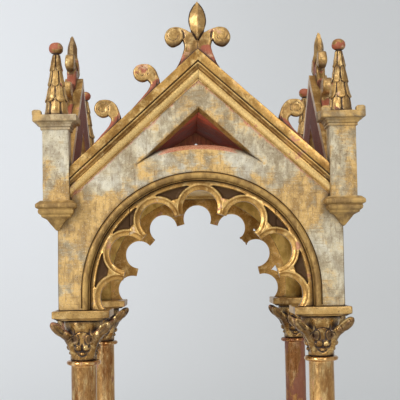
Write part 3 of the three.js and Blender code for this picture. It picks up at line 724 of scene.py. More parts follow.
# The fleur-de-lis: a stem that straddles the ridge, two scrolls and a ridged petal.
def fleur_shape():
    foot = 34.0
    stem = curve([[foot, -foot * GABLE_SLOPE], [26.5, -18], [21, -4], [18.8, 6], [21.3, 14]], 5)
    bulb = curve([[21.3, 14], [26.5, 7.8], [36.5, 4.8], [44.5, 11], [46.5, 20], [41, 30], [31, 33],
                  [20, 30.5], [13, 27], [9.4, 25.2]], 5)
    petal = curve([[9.4, 25.2], [9.8, 29.5], [12.0, 37], [12.6, 44], [11.0, 52.5], [6.8, 61.5], [0, 69.8]], 4)
    right = np.vstack([stem, bulb[1:], petal[1:]])
    left = (right[:-1] * [-1, 1])[::-1]
    outline = closed_steps(np.vstack([[[0, 0]], right, left]), 1.5)
    free = unseated(outline, outline[:, 1] + GABLE_SLOPE * np.abs(outline[:, 0]))
    heights = [11, 18, 25, 30, 37, 44, 52.5, 61.5, 69.8]
    widths = [0.1, 3.6, 8.2, 9.9, 12, 12.6, 11, 6.8, 0.2]

    def relief(points):
        x, z = np.abs(points[:, 0]), points[:, 1]
        distance = loop_distance([free], points)
        body = CARVING_HALF - 0.3 - rounding(distance, 3.2)
        reach = np.hypot((x - 33.0) / 1.15, z - 19.8)
        groove = np.abs(reach - 8.2 - 1.2 * np.arctan2(z - 19.8, x - 33.0))
        body = body - 1.1 * soft_line(groove, 0.8) * (x > 22) - 1.6 * smoothstep(15, 6, z) * (x > 24)
        body = body - 1.2 * smoothstep(24, 20, x) * smoothstep(12, 20, z)
        body = body - 1.6 * soft_line(np.hypot(x - 34.0, z - 19.3) - 15.0, 1.0) * smoothstep(28, 20, x)
        width = np.interp(z, heights, widths, left=0.1, right=0.1)
        across = np.clip(x / width, 0, 1)
        ridge = 1.6 + 6.6 * (1 - across) * smoothstep(69, 46, z)**0.6
        ridge = ridge + 2.4 * smoothstep(36, 26, z) * (across < 1)
        seam = 1.9 * soft_line(x - width, 0.8) * smoothstep(11, 15, z) * smoothstep(34, 28, z)
        seam = seam + 0.8 * soft_line(x, 1.1) * smoothstep(13, 9, z)
        in_petal = (x < width) & (z > 11)
        return np.where(in_petal, np.where(z > 27, ridge, np.maximum(ridge, body - 1.0) - seam), body - seam)

    points, triangles = carving(outline, relief, (1.4, 1.6))
    x, _, z = points.T
    # The flanks are rubbed through to the bole; the right half of the petal and the undersides of the scrolls
    # get painted shade.
    flank = smoothstep(32, 10, z + GABLE_SLOPE * np.abs(x)) * (0.8 + 0.6 * smoothstep(-4, 16, x))
    petal_half = (z > 32) * smoothstep(0.3, 2.0, x) * smoothstep(14, 11, np.abs(x))
    under = smoothstep(13, 7, z) * (np.abs(x) > 24)
    masks = {"rub": flank - 0.8 * (z > 30), "dark": 0.4 * petal_half + 0.9 * under}
    return lifted(points, GABLE_HEIGHT), triangles, masks


# A crocket: a scroll on a neck whose tail runs down the slope, drawn with uphill at +x.
def crocket_shape():
    top, radius, toe, tail = CROCKET_RISE, CROCKET_RADIUS, 25.0, -21.0
    back = curve([[toe, toe * GABLE_SLOPE], [24.6, top - 11], [19, top + 4], [10, top + radius * 0.92],
                  [0, top + radius]], 5)
    angles = np.radians(np.linspace(90, 305, 26))[1:]
    scroll = np.stack([radius * np.cos(angles), top + radius * np.sin(angles)], 1)
    neck = curve([scroll[-1], [11.4, top - 16], [8.6, top - 24], [0.6, 5.4], [-9, -5.2],
                  [tail, tail * GABLE_SLOPE]], 5)
    outline = closed_steps(np.vstack([back, scroll, neck[1:]]), 1.5)
    free = unseated(outline, outline[:, 1] - GABLE_SLOPE * outline[:, 0])

    def relief(points):
        x, z = points.T
        body = CARVING_HALF - 0.3 - rounding(loop_distance([free], points), 3.0)
        turn = np.arctan2(z - top, x)
        reach = np.hypot(x, z - top)
        sweep = np.mod(turn + math.radians(50), 2 * math.pi)
        groove = 9.2 - 4.6 * sweep / (2 * math.pi)
        line = soft_line(reach - groove, 0.7) * smoothstep(0, 0.5, sweep)
        body = body - 1.1 * line - 0.8 * smoothstep(6.5, 2.0, reach)
        middle = 0.5 * (toe + 9.2) - 1.0
        rib = 0.3 * soft_line(x - middle, 3.2) * smoothstep(top - 6, top - 18, z)
        side = 1.3 * soft_line(x - middle - 5.5, 0.9) * smoothstep(top, top - 14, z)
        return body + rib - side

    points, triangles = carving(outline, relief, (1.5, 1.6))
    above = points[:, 2] - GABLE_SLOPE * points[:, 0]
    return points, triangles, {"rub": smoothstep(16, 3, above) * 1.2}


def crocket_at(shape, side, station):
    points, triangles, masks = mirrored(*shape) if side > 0 else shape
    return points + np.array([side * station, 0, GABLE_HEIGHT - GABLE_SLOPE * station]), triangles, masks


# Square pieces with moulded outlines.
def square_ring(half, corner, z, per_side):
    """A square with rounded corners, counter-clockwise seen from above."""
    corner = min(corner, half * 0.9)
    flat = half - corner
    across = np.linspace(-flat, flat, per_side + 1)[1:-1]
    low, high = arc(flat, -flat, corner, -45, 0, 5), arc(flat, flat, corner, 0, 45, 5)
    side = np.vstack([low, np.column_stack([np.full(len(across), half), across]), high])[:-1]
    side = np.column_stack([side, np.full(len(side), z)])
    return np.vstack([turned_round(side, quarter) for quarter in range(4)])


def square_loft(profile, corner, per_side=9):
    return loft([square_ring(max(half, 0.05), corner, z, per_side) for half, z in profile])


def corner_ring(half, z, notch=None):
    """A square, counter-clockwise from above, whose (+, +) quarter may be cut back to a notch."""
    inner, edge = (half, 0) if notch is None else (notch, notch)
    stops = np.array([(-half, -half), (half, -half), (half, edge),
                      (inner, inner), (edge, half), (-half, half)])
    along = np.arange(12) / 12
    along[0] = 0.0175
    legs = np.roll(stops, -1, 0) - stops
    ring = (stops[:, None] + legs[:, None] * along[:, None]).reshape(-1, 2)
    return np.column_stack([ring, np.full(len(ring), z)])


def turret_shape(merlons):
    half, corbel, cap = TURRET_HALF, CORBEL_HALF, CAP_HALF
    foot, cap_foot = TURRET_FOOT, TURRET_FOOT + SHAFT_HEIGHT
    cap_top = cap_foot + CAP_HEIGHT
    neck, lip = foot - CORBEL_DROP, half + 6.6
    lower = eased([
        [0.4, neck], [2.0, neck + 0.6], [12.6, neck + 14.5], [14.5, foot - 25.5],
        [corbel * 0.72, foot - 22.5], [corbel * 0.72, foot - 20.5], [corbel * 0.86, foot - 17.6],
        [corbel * 0.88, foot - 14.2], [corbel * 0.84, foot - 12.2], [corbel, foot - 10], [corbel, foot - 5],
        [half + 4, foot - 0.4], [half + 0.6, foot],
    ], 1.3)
    upper = eased([
        [half + 0.6, foot], [half, foot + 0.5], [half, cap_foot - 0.4], [half + 2.3, cap_foot + 0.2],
        [half + 2.3, cap_foot + 3.3], [half + 1.6, cap_foot + 3.7], [half + 3.4, cap_foot + 4.3],
        [half + 4.4, cap_foot + 7.2], [lip, cap_foot + 8.6], [lip, cap_foot + 10.0],
        [cap - 1.0, cap_foot + 10.8], [cap, cap_foot + 11.6], [cap, cap_top], [0.4, cap_top],
    ], 0.55)
    rings = [corner_ring(h, z, -JOINT) for h, z in stepped(lower, 3.0)]
    rings += [corner_ring(h, z) for h, z in stepped(upper, 3.2)]
    parts = [loft(rings)]
    merlon, merlon_top = MERLON_WIDTH / 2, cap_top + MERLON_HEIGHT
    profile = eased([
        [merlon, cap_top - 0.4], [merlon, cap_top + MERLON_HEIGHT * 0.72], [MERLON_WIDTH * 0.3, merlon_top],
        [0.3, merlon_top],
    ], 1.0)
    block, block_faces = square_loft(stepped(profile, 2.0), 1.0, 6)
    shift = cap - merlon - 0.1
    parts += [(block + [x * shift, y * shift, 0], block_faces) for x, y in merlons]
    points, triangles = merged(parts)
    z = points[:, 2]
    near_spire = np.hypot(points[:, 0], points[:, 1]) < SPIRE_RADIUS + 6
    red = 0.7 * soft_line(z - cap_foot, 0.9) + 0.5 * soft_line(z - foot + 9, 1.2)
    red = red + 1.4 * smoothstep(cap_top - 3.5, cap_top - 1, z) * near_spire
    gilt = smoothstep(foot - 0.4, foot - 1.6, z) * 0.9 + smoothstep(cap_foot - 0.4, cap_foot, z) * 0.45
    return points, triangles, {"gilt": gilt, "red": red}


# A spire of overlapping leaf scales under a ball.
def spire_shape():
    foot = TURRET_FOOT + SHAFT_HEIGHT + CAP_HEIGHT + JOINT
    stem = SPIRE_HEIGHT - SPIRE_BALL * 1.7
    tiers = len(SPIRE_FLARES)
    tier_height = stem / tiers
    columns = SPIRE_LEAVES * 18
    turn = np.arange(columns) / columns * 2 * math.pi

    def across(tier):
        phase = turn * SPIRE_LEAVES / (2 * math.pi) + 0.5 * (tier % 2)
        return np.abs(2 * (phase - np.floor(phase)) - 1)

    def edge(tier):
        if tier == 0:
            return 0.6 + 3.4 * across(0)**4
        if tier == tiers:
            return np.full(columns, stem - 1.0)
        return tier * tier_height - 2.6 + 7.4 * across(tier)**2.6

    rings = [np.full(columns, 0.0)]
    radii = [np.full(columns, SPIRE_RADIUS * 0.86)]
    for tier in range(tiers):
        low, high = edge(tier), edge(tier + 1)
        start, end = SPIRE_RADIUS * SPIRE_FLARES[tier], SPIRE_RADIUS * SPIRE_NECKS[tier]
        phi = across(tier)
        for t in np.concatenate([[0, 0.02, 0.06], np.linspace(0.12, 1, 18)]):
            z = low + (high - low) * t
            s = np.clip((z - tier * tier_height) / tier_height, -0.12, 1)
            flare = start + (end - start) * np.clip(s, 0, 1)**0.8
            lip = -1.0 * (1 - min(t / 0.06, 1))**2 - 0.5 * np.clip(-s, 0, 1) / 0.12
            crease = 2.6 * smoothstep(0.66, 1.0, phi) * (1 - 0.3 * t)
            flat = start * 0.06 * (phi**2 - 0.3)
            rib = 0.45 * (1 - np.clip(phi / 0.16, 0, 1)) * smoothstep(0.15, 0.5, np.array(t))
            rings.append(z)
            radii.append(np.maximum(flare + lip - crease + rib + flat, 2.6))
    middle, tall = stem + SPIRE_BALL * 0.86, SPIRE_BALL * 0.82
    knob = [(stem + 0.2, 4.3)]
    knob += [(middle - tall * math.cos(a), SPIRE_BALL * math.sin(a)**0.8 - 0.2)
             for a in np.radians(np.linspace(26, 177, 20))]
    for z, radius in knob:
        rings.append(np.full(columns, z))
        radii.append(np.full(columns, radius))
    skin = [np.stack([r * np.cos(turn), r * np.sin(turn), z + foot], 1) for z, r in zip(rings, radii)]
    points, triangles = loft(skin)
    return points, triangles, {"rub": smoothstep(stem - 1, stem + 2, points[:, 2] - foot) * 0.8}


# Columns, slabs and platform.
def lathe(profile, columns):
    turn = np.arange(columns) / columns * 2 * math.pi
    round_ring = np.column_stack([np.cos(turn), np.sin(turn)])
    return loft([np.column_stack([max(r, 0.05) * round_ring, np.full(columns, z)]) for r, z in profile])


def column_shape():
    """A shaft with its base and astragal, on a square plinth."""
    ring_foot = CAPITAL_FOOT - PLATFORM_TOP - ASTRAGAL_HEIGHT
    ring_top = ring_foot + ASTRAGAL_HEIGHT
    shaft, base, flare = SHAFT_RADIUS, PLINTH_HEIGHT, SHAFT_RADIUS + BASE_FLARE
    profile = np.vstack([
        [[0, base - 1], [flare - 5, base - 1]],
        arc(flare - 4.2, base + 4.3, 4.2, -88, 88, 10),
        arc(flare - 1.0, base + 13.2, 4.4, 250, 118, 9),
        arc(shaft + 2.6, base + 19.6, 2.4, -80, 85, 8),
        eased([
            [shaft + 1.4, base + 22.2], [shaft + 1.2, base + 24], [shaft, base + BASE_HEIGHT],
            [shaft, ring_foot - 5], [shaft, ring_foot - 0.4], [shaft + 3.2, ring_foot - 0.1],
        ], 1.0),
        arc(shaft + 3.2, ring_foot + 3.0, 3.1, -90, 90, 10),
        [[shaft + 0.4, ring_top], [0, ring_top]],
    ])
    plinth = eased([
        [0.1, JOINT], [PLINTH_HALF, JOINT], [PLINTH_HALF, base - 0.4], [PLINTH_HALF - 1.2, base], [0.1, base],
    ], 1.0)
    return merged([lathe(stepped(profile, 7.0), 56), square_loft(stepped(plinth, 5.0), 1.2)])


def abacus_shape():
    half, high = ABACUS_HALF, ABACUS_HEIGHT
    profile = eased([
        [0.1, JOINT], [half - 6.0, JOINT], [half - 5.4, 1.4], [half - 1.6, 3.0], [half, 3.6],
        [half, high - 0.8], [half - 0.8, high], [0.1, high],
    ], 0.9)
    return square_loft(stepped(profile, 3.0), 2.2, 26)


def platform_shape():
    half, step, high = PLATFORM_HALF - 0.5, 14.0, PLATFORM_TOP
    top = half - step
    profile = eased([
        [0.1, 0], [half, 0], [half, high * 0.5], [half - 2.5, high * 0.55], [half - 6, high * 0.6],
        [top + 4, high * 0.7], [top + 1.2, high * 0.76], [top, high * 0.78], [top, high], [0.1, high],
    ], 2.0)
    return square_loft(stepped(profile, 12.0), 2.5, 42)


# Ceiling and roof boards.
def ceiling_shape():
    half, inner = INNER_HALF, INNER_HALF - BATTEN_WIDTH
    low, high = CEILING_LEVEL - BATTEN_DROP, CEILING_LEVEL + CEILING_THICKNESS
    profile = eased([
        [0.1, CEILING_LEVEL], [inner, CEILING_LEVEL], [inner, low], [half, low], [half, high], [0.1, high],
    ], 1.2)
    return square_loft(stepped(profile, 12.0), 1.0, 30)


def roof_shape(side):
    eaves = INNER_HALF
    foot = CEILING_LEVEL + CEILING_THICKNESS + JOINT
    ridge = JOINT / 2
    section = eased([[eaves, foot], [eaves, foot + ROOF_THICKNESS], [ridge, ROOF_RIDGE + ROOF_THICKNESS],
                     [ridge, ROOF_RIDGE], [eaves - 6, foot]], 0.6)
    section = closed_steps(section, 7.0)
    rings = [np.stack([section[:, 0], np.full(len(section), y), section[:, 1]], 1)
             for y in np.linspace(-eaves, eaves, 60)]
    points, triangles = loft(rings)
    if signed_volume(points, triangles) < 0:
        triangles = triangles[:, ::-1]
    return (points, triangles) if side > 0 else mirrored(points, triangles)


# Capitals: limbs and lobes melted into one skin, then hollowed and grooved.
def ellipsoid(centre, radii, axes, columns=20, rows=12):
    turn = np.arange(columns) / columns * 2 * math.pi
    round_ring = np.column_stack([np.cos(turn), np.sin(turn)])
    points, triangles = loft([np.column_stack([math.sin(a) * round_ring, np.full(columns, -math.cos(a))])
                              for a in np.linspace(0.05, math.pi - 0.05, rows)])
    return points * np.array(radii) @ np.array(axes) + centre, triangles


def melted(parts, voxel):
    """One closed skin over overlapping parts, as evenly spaced triangles."""
    points, triangles = merged(parts)
    mesh = bpy.data.meshes.new("melting")
    mesh.from_pydata((points * MM).tolist(), [], triangles.tolist())
    helper = bpy.data.objects.new("melting", mesh)
    bpy.context.scene.collection.objects.link(helper)
    remesh = helper.modifiers.new("remesh", "REMESH")
    remesh.mode = "VOXEL"
    remesh.voxel_size = voxel * MM
    bpy.context.view_layer.update()
    result = helper.evaluated_get(bpy.context.evaluated_depsgraph_get()).to_mesh()
    result.calc_loop_triangles()
    skin = np.zeros(len(result.vertices) * 3, np.float32)
    result.vertices.foreach_get("co", skin)
    faces = np.zeros(len(result.loop_triangles) * 3, np.int32)
    result.loop_triangles.foreach_get("vertices", faces)
    bpy.data.objects.remove(helper)
    bpy.data.meshes.remove(mesh)
    return skin.reshape(-1, 3).astype(float) / MM, faces.reshape(-1, 3).astype(np.int64)


def outward_and_sideways(angle):
    c, s = math.cos(angle), math.sin(angle)
    return np.array([c, s, 0]), np.array([-s, c, 0])


def capital_parts():
    """The bell, a limb with its pod at each corner, and the lobes of each face."""
    bell = lathe(stepped(eased([
        [0.1, JOINT], [18.6, JOINT], [18.7, 6], [19.2, 14], [20.4, 22], [22.6, 32], [25.6, 42], [27.5, 50],
        [27.5, 57.2], [0.1, 57.2],
    ], 1.5), 4.0), 48)
    parts = [bell]
    limb = curve([[15, 4], [18, 14], [22, 25], [28, 34], [36, 39.5]], 4)
    sizes = np.interp(np.linspace(0, 1, len(limb)), [0, 0.35, 0.7, 1], [5.0, 7.0, 8.0, 7.4])
    up = np.array([0, 0, 1.0])
    for i in range(4):
        out, side = outward_and_sideways(math.pi / 4 + i * math.pi / 2)
        for (reach, level), size in zip(limb, sizes):
            half = (size * 0.86, size, size * 0.86)
            parts.append(ellipsoid(out * reach + up * level, half, [out, side, up], 14, 8))
        along = out * math.cos(POD_RISE) + up * math.sin(POD_RISE)
        centre = out * POD_CENTRE[0] + up * POD_CENTRE[1]
        parts.append(ellipsoid(centre, POD_HALF, [along, side, np.cross(side, along)], 24, 16))
        out, side = outward_and_sideways(i * math.pi / 2)
        for reach, across, level, half in FACE_LOBES:
            parts.append(ellipsoid(out * reach + side * across + up * level, half, [out, side, up]))
    return parts


def capital_shape():
    """The melted capital, with its pods hollowed and its face grooved."""
    points, triangles = melted(capital_parts(), 1.12)
    for _ in range(2):
        points = 0.6 * points + 0.4 * neighbour_mean(points, triangles, len(points))
    normals = vertex_normals(points, triangles)
    x, y, z = points.T
    around = np.arctan2(y, x)
    quarter = np.mod(around, math.pi / 2)
    reach = np.hypot(x, y)
    out = reach * np.cos(quarter - math.pi / 4)
    side = reach * np.sin(quarter - math.pi / 4)
    s = (out - POD_CENTRE[0]) * math.cos(POD_RISE) + (z - POD_CENTRE[1]) * math.sin(POD_RISE)
    n = -(out - POD_CENTRE[0]) * math.sin(POD_RISE) + (z - POD_CENTRE[1]) * math.cos(POD_RISE)
    dish = smoothstep(1.0, 0.62, (s / 13.0)**2 + (n / 4.6)**2) * smoothstep(1.0, 3.0, np.abs(side))
    dish = dish * smoothstep(26, 32, out)
    face = np.mod(around + math.pi / 4, math.pi / 2) - math.pi / 4
    across = reach * np.sin(face)
    near = smoothstep(0.75, 0.6, np.abs(face))
    smile = np.hypot(across, z - 13.6)
    groove = 1.2 * soft_line(smile - 7.0, 1.0) * smoothstep(13.0, 10.0, z) * near
    outline = np.minimum(np.hypot(across - 5.2, z - 19.0), np.hypot(across + 5.2, z - 19.0))
    groove += 0.7 * soft_line(outline - 6.2, 0.9) * near * smoothstep(24, 20, z)
    groove += 1.1 * soft_line(across, 0.8) * smoothstep(12, 14, z) * smoothstep(26, 22, z)
    socket = np.hypot(np.abs(across) - 10.2, (z - 30.5) / 1.25)
    groove += (2.6 * smoothstep(5.6, 2.5, socket) + 0.6 * soft_line(socket - 6.6, 0.8)) * near
    brow = z - 41.0 + 0.03 * across**2
    groove += 1.3 * soft_line(brow, 0.8) * near
    edge = np.abs(side) - 8.6
    groove += 1.4 * soft_line(edge, 1.0) * smoothstep(14, 22, z) * smoothstep(48, 40, z) * (reach < 34)
    points = points - normals * groove[:, None]
    sideways = np.stack([-np.sin(around - quarter + math.pi / 4), np.cos(around - quarter + math.pi / 4),
                         np.zeros(len(points))], 1)
    points = points - sideways * (np.sign(side) * dish * 1.6)[:, None]
    points[:, 2] = np.clip(points[:, 2], JOINT, ABACUS_FOOT - CAPITAL_FOOT)
    # Painted shade in the eye sockets, on the pods' undersides and in their dishes; painted highlight on the
    # pods' upper sides, which are rubbed there too.
    pod = smoothstep(26, 30, out)
    deep = 0.9 * smoothstep(6.0, 4.0, socket) * near + pod * (0.55 * smoothstep(0.5, -1.5, n) + 0.25 * dish)
    bright = pod * smoothstep(1.2, 3.2, n)
    return points, triangles, {"dark": np.clip(deep, 0, 1), "light": bright, "rub": 0.6 * bright}


# Materials.
def colour(red, green, blue):
    """Linear colour from the usual 0 to 255 values."""
    values = [c / 255 for c in (red, green, blue)]
    return tuple(c / 12.92 if c <= 0.04045 else ((c + 0.055) / 1.055)**2.4 for c in values) + (1.0,)


class Paint:
    """The nodes of one procedural material, laid out in the piece's own coordinates."""

    def __init__(self, name):
        self.material = bpy.data.materials.new(name)
        self.material.use_nodes = True
        self.tree = self.material.node_tree
        self.tree.nodes.clear()
        self.place = self.add("TexCoord").outputs["Object"]

    def add(self, kind, inputs=None, **settings):
        made = self.tree.nodes.new("ShaderNode" + kind)
        for key, value in settings.items():
            setattr(made, key, value)
        for key, value in (inputs or {}).items():
            if isinstance(value, bpy.types.NodeSocket):
                self.tree.links.new(value, made.inputs[key])
            else:
                made.inputs[key].default_value = value
        return made

    def noise(self, scale, detail, roughness, stretch=(1, 1, 1), shift=0.0, distortion=0.0, turn=0.0):
        moved = self.add("Mapping", {
            "Vector": self.place, "Scale": stretch, "Location": (shift, shift * 0.7, -shift),
            "Rotation": (0, turn, 0),
        }).outputs[0]
        return self.add("TexNoise", {
            "Vector": moved, "Scale": scale, "Detail": detail, "Roughness": roughness,
            "Distortion": distortion,
        }).outputs["Fac"]

    def ramp(self, value, low, high, to_low=0.0, to_high=1.0):
        return self.add("MapRange", {
            "Value": value, "From Min": low, "From Max": high, "To Min": to_low, "To Max": to_high,
        }, interpolation_type="SMOOTHSTEP").outputs["Result"]

    def math(self, operation, a, b, clamp=False):
        return self.add("Math", {0: a, 1: b}, operation=operation, use_clamp=clamp).outputs[0]

    def times(self, a, b, clamp=False):
        return self.math("MULTIPLY", a, b, clamp)

    def minus(self, a, b, clamp=False):
        return self.math("SUBTRACT", a, b, clamp)

    def most(self, a, b):
        return self.math("MAXIMUM", a, b)

    def total(self, first, *rows):
        """The first value with each row's value added, times that row's share."""
        for value, share in rows:
            first = self.math("ADD", first, self.times(value, share))
        return first

    def mix(self, factor, a, b, blend="MIX"):
        """From a to b, which are sockets or (red, green, blue)."""
        a, b = (colour(*side) if isinstance(side, tuple) else side for side in (a, b))
        return self.add("Mix", {0: factor, 6: a, 7: b}, data_type="RGBA", blend_type=blend).outputs[2]

    def attribute(self, name):
        return self.add("Attribute", attribute_name=name).outputs["Fac"]

    def openness(self, distance):
        return self.add("AmbientOcclusion", {"Distance": distance}, samples=8).outputs["AO"]

    def finish(self, base, metallic, roughness, height, strength, distance=0.0006):
        bump = self.add("Bump", {"Height": height, "Strength": strength, "Distance": distance}).outputs[0]
        shader = self.add("BsdfPrincipled", {
            "Base Color": base, "Metallic": metallic, "Roughness": roughness, "Normal": bump,
        })
        out = self.add("OutputMaterial")
        self.tree.links.new(shader.outputs[0], out.inputs["Surface"])
        return self.material


def gilding(name, tones, wear, shade_strength, shine, metal, streak=(1, 1, 1), grain=0.5):
    """Leaf gold over red bole and gesso, rubbed through on edges and in patches, with painted shade in the
    hollows and painted highlights where a piece's light mask is set.
    """
    p = Paint(name)
    gold, deep, bright, bole, gesso, shade_and_pits = tones
    large = p.noise(26, 4, 0.55, streak, 1.7, 0.4)
    medium = p.noise(95, 5, 0.6, streak, 4.1, 0.3)
    fine = p.noise(520, 6, 0.65, streak, 7.9)
    edge, hollow, rub, dark = (p.attribute(label) for label in ("edge", "hollow", "rub", "dark"))
    leaf = p.mix(p.ramp(large, 0.34, 0.66), deep, gold)
    leaf = p.mix(p.ramp(medium, 0.46, 0.74, 0.0, 0.8), leaf, bright)
    # Painted highlight where a piece's light mask is set.
    leaf = p.mix(p.times(p.attribute("light"), 0.75, True), leaf, bright)
    leaf = p.mix(p.ramp(fine, 0.32, 0.62, 0.4, 0.0), leaf, deep, "MULTIPLY")
    patch = p.total(large, (medium, 0.7), (rub, 0.26), (fine, 0.16))
    through = p.ramp(patch, 1.2 - wear, 1.27 - wear)
    chipped = p.ramp(p.total(edge, (medium, 1.3)), 1.45 - wear, 1.62 - wear)
    ground = p.times(p.most(through, chipped), 0.88)
    pale = p.minus(p.noise(60, 5, 0.65, streak, 15.0), p.times(rub, 0.07))
    base = p.mix(p.ramp(pale, 0.46, 0.62), bole, gesso)
    tint = p.mix(ground, leaf, base)
    # Painted shade: darker where the surface is closed in and in hollows, varied at random, and where a
    # piece's dark mask is set; the pits are real marks.
    closed = p.minus(1.0, p.openness(0.010))
    shade = p.total(p.times(closed, 1.1 * shade_strength), (hollow, shade_strength), (p.minus(medium, 0.5), 0.45))
    shade = p.most(p.ramp(shade, 0.14, 0.8), p.times(dark, 0.85, True))
    pits = p.ramp(p.noise(380, 3, 0.6, shift=21.0), 0.62, 0.7, 0.0, 0.6)
    shade = p.most(shade, pits)
    tint = p.mix(shade, tint, shade_and_pits)
    clean = p.minus(1.0, p.most(ground, shade), True)
    metallic = p.most(p.times(clean, metal), p.times(dark, 0.6))
    rough = p.ramp(p.total(fine, (clean, -0.35)), 0.1, 0.8, shine, 0.85)
    height = p.total(p.times(fine, grain), (medium, 0.7))
    return p.finish(tint, metallic, rough, height, 0.4)


def panel_paint():
    """Grey-beige gesso scraped of most of its gold, with brush marks, ochre patches and red edges."""
    p = Paint("gesso_gilt")
    large = p.noise(13, 4, 0.6, (1, 1, 0.8), 3.3, 0.5)
    medium = p.noise(70, 6, 0.62, (1, 1, 0.7), 5.5, 0.3)
    fine = p.noise(560, 6, 0.75, (1, 1, 1), 2.2)
    brush = p.noise(330, 5, 0.65, (1, 1, 0.13), 9.1, 0.3, 0.25)
    cross = p.noise(330, 5, 0.65, (0.13, 0.13, 1), 6.4, 0.3, 0.12)
    uneven = p.minus(medium, 0.5)
    edge, hollow, red = p.attribute("edge"), p.attribute("hollow"), p.attribute("red")
    gilt, bare, inner = p.attribute("gilt"), p.attribute("bare"), p.attribute("inside")

    marks = p.most(p.ramp(brush, 0.5, 0.72), p.ramp(cross, 0.53, 0.74))
    grey = p.mix(p.ramp(medium, 0.38, 0.62), (138, 122, 92), (190, 178, 148))
    grey = p.mix(p.ramp(large, 0.3, 0.48, 0.7, 0.0), grey, (198, 194, 178))
    ochre = p.mix(p.ramp(medium, 0.4, 0.62), (156, 120, 62), (200, 160, 88))
    share = p.total(large, (uneven, 0.5), (p.minus(cross, 0.5), 0.3), (p.attribute("ochre"), 0.1))
    gold_share = p.ramp(share, 0.46, 0.62, 0.0, 0.85)
    tint = p.mix(gold_share, grey, ochre)
    tint = p.mix(p.times(marks, 0.62), tint, (106, 80, 48))
    tint = p.mix(p.ramp(fine, 0.54, 0.7, 0.0, 0.6), tint, (228, 218, 192))
    soiled = p.ramp(p.noise(150, 5, 0.7, (1, 1, 0.6), 27.0, 0.4), 0.55, 0.68, 0.0, 0.5)
    tint = p.mix(soiled, tint, (112, 92, 62))
    pits = p.ramp(p.noise(420, 3, 0.6, shift=21.0), 0.6, 0.68)
    tint = p.mix(p.times(pits, 0.65), tint, (92, 62, 36))

    worn_red = p.ramp(p.total(p.times(red, 0.42), (edge, 0.35), (medium, 0.9)), 0.72, 0.98)
    spots = p.ramp(p.noise(80, 5, 0.65, shift=12.0, distortion=0.6), 0.66, 0.76, 0.0, 0.6)
    rose = p.mix(p.ramp(fine, 0.4, 0.6), (156, 70, 44), (206, 148, 118))
    tint = p.mix(p.most(p.times(worn_red, 0.8), spots), tint, rose)
    olive = p.mix(p.ramp(medium, 0.36, 0.62), (122, 92, 46), (168, 134, 74))
    olive = p.mix(p.ramp(brush, 0.56, 0.72, 0.0, 0.4), olive, (222, 184, 116))
    tint = p.mix(gilt, tint, olive)
    lining = p.mix(p.ramp(medium, 0.36, 0.64), (168, 134, 60), (218, 184, 104))
    lining = p.mix(p.ramp(large, 0.58, 0.68, 0.0, 0.45), lining, (196, 128, 74))
    tint = p.mix(inner, tint, lining)
    wood = p.mix(p.ramp(brush, 0.35, 0.65), (92, 44, 28), (136, 74, 48))
    tint = p.mix(bare, tint, wood)

    closed = p.minus(1.0, p.openness(0.014))
    shade = p.total(p.times(closed, 0.9), (hollow, 1.1), (p.times(gilt, hollow), 1.2), (uneven, 0.4))
    shade = p.ramp(shade, 0.14, 0.85)
    tint = p.mix(shade, tint, (66, 42, 16))
    leaf = p.most(p.times(gold_share, 0.35), p.times(gilt, 0.5))
    metallic = p.times(leaf, p.minus(1.0, p.most(shade, bare), True), True)
    rough = p.minus(p.ramp(fine, 0.3, 0.7, 0.55, 0.8), p.times(gilt, 0.2))
    height = p.total(p.times(fine, 0.5), (marks, -0.5), (medium, 0.9))
    return p.finish(tint, metallic, rough, height, 0.5, 0.0007)


def wood_paint(name, light, dark, streak):
    """Old stained boards with grain along them and dust on them."""
    p = Paint(name)
    grain = p.noise(90, 7, 0.7, streak, 2.0, 0.8)
    large = p.noise(16, 4, 0.6, shift=5.0)
    fine = p.noise(500, 5, 0.7, streak, 1.0)
    tint = p.mix(p.ramp(grain, 0.35, 0.65), dark, light)
    tint = p.mix(p.ramp(large, 0.35, 0.65, 0.0, 0.6), tint, dark, "MULTIPLY")
    dust = p.ramp(p.total(fine, (large, 0.6)), 0.82, 1.0, 0.0, 0.4)
    tint = p.mix(dust, tint, (150, 135, 120))
    return p.finish(tint, 0.0, p.ramp(grain, 0.3, 0.7, 0.6, 0.9), p.total(grain, (fine, 0.5)), 0.5, 0.0008)


def stage_paint():
    """A pale wall and floor with painted shade, a little darker and warmer towards the right and low down."""
    p = Paint("studio_paper")
    soft = p.noise(0.6, 2, 0.5)
    parts = p.add("SeparateXYZ", {"Vector": p.place})
    across = p.ramp(parts.outputs["X"], -1.1, 0.9)
    low = p.ramp(parts.outputs["Z"], 1.3, -0.5)
    dim = p.math("ADD", p.total(p.times(across, 0.7), (low, 0.5)), p.times(soft, 0.1), True)
    tint = p.mix(dim, (240, 243, 246), (220, 222, 222))
    return p.finish(tint, 0.0, p.ramp(soft, 0.0, 1.0, 0.85, 0.9), soft, 0.02)


# Tones in the order of gilding: gold, deep, bright (also the painted highlight), bole, gesso, and the dark
# tone of painted shade and pits.
MOULDING_TONES = (
    (206, 162, 90), (150, 110, 52), (240, 206, 136),
    (176, 112, 84), (196, 172, 136), (54, 32, 12),
)
CARVED_TONES = (
    (196, 158, 94), (132, 98, 50), (228, 196, 134),
    (142, 62, 40), (196, 156, 122), (54, 32, 12),
)
COLUMN_TONES = (
    (222, 176, 110), (160, 108, 62), (252, 224, 164),
    (116, 56, 38), (160, 104, 70), (66, 32, 18),
)
CAPITAL_TONES = (
    (180, 138, 76), (118, 84, 40), (240, 206, 140),
    (124, 70, 48), (200, 156, 120), (46, 26, 12),
)
CEILING_TONES = (
    (224, 188, 108), (176, 138, 66), (240, 212, 140),
    (170, 104, 70), (190, 156, 110), (60, 36, 16),
)

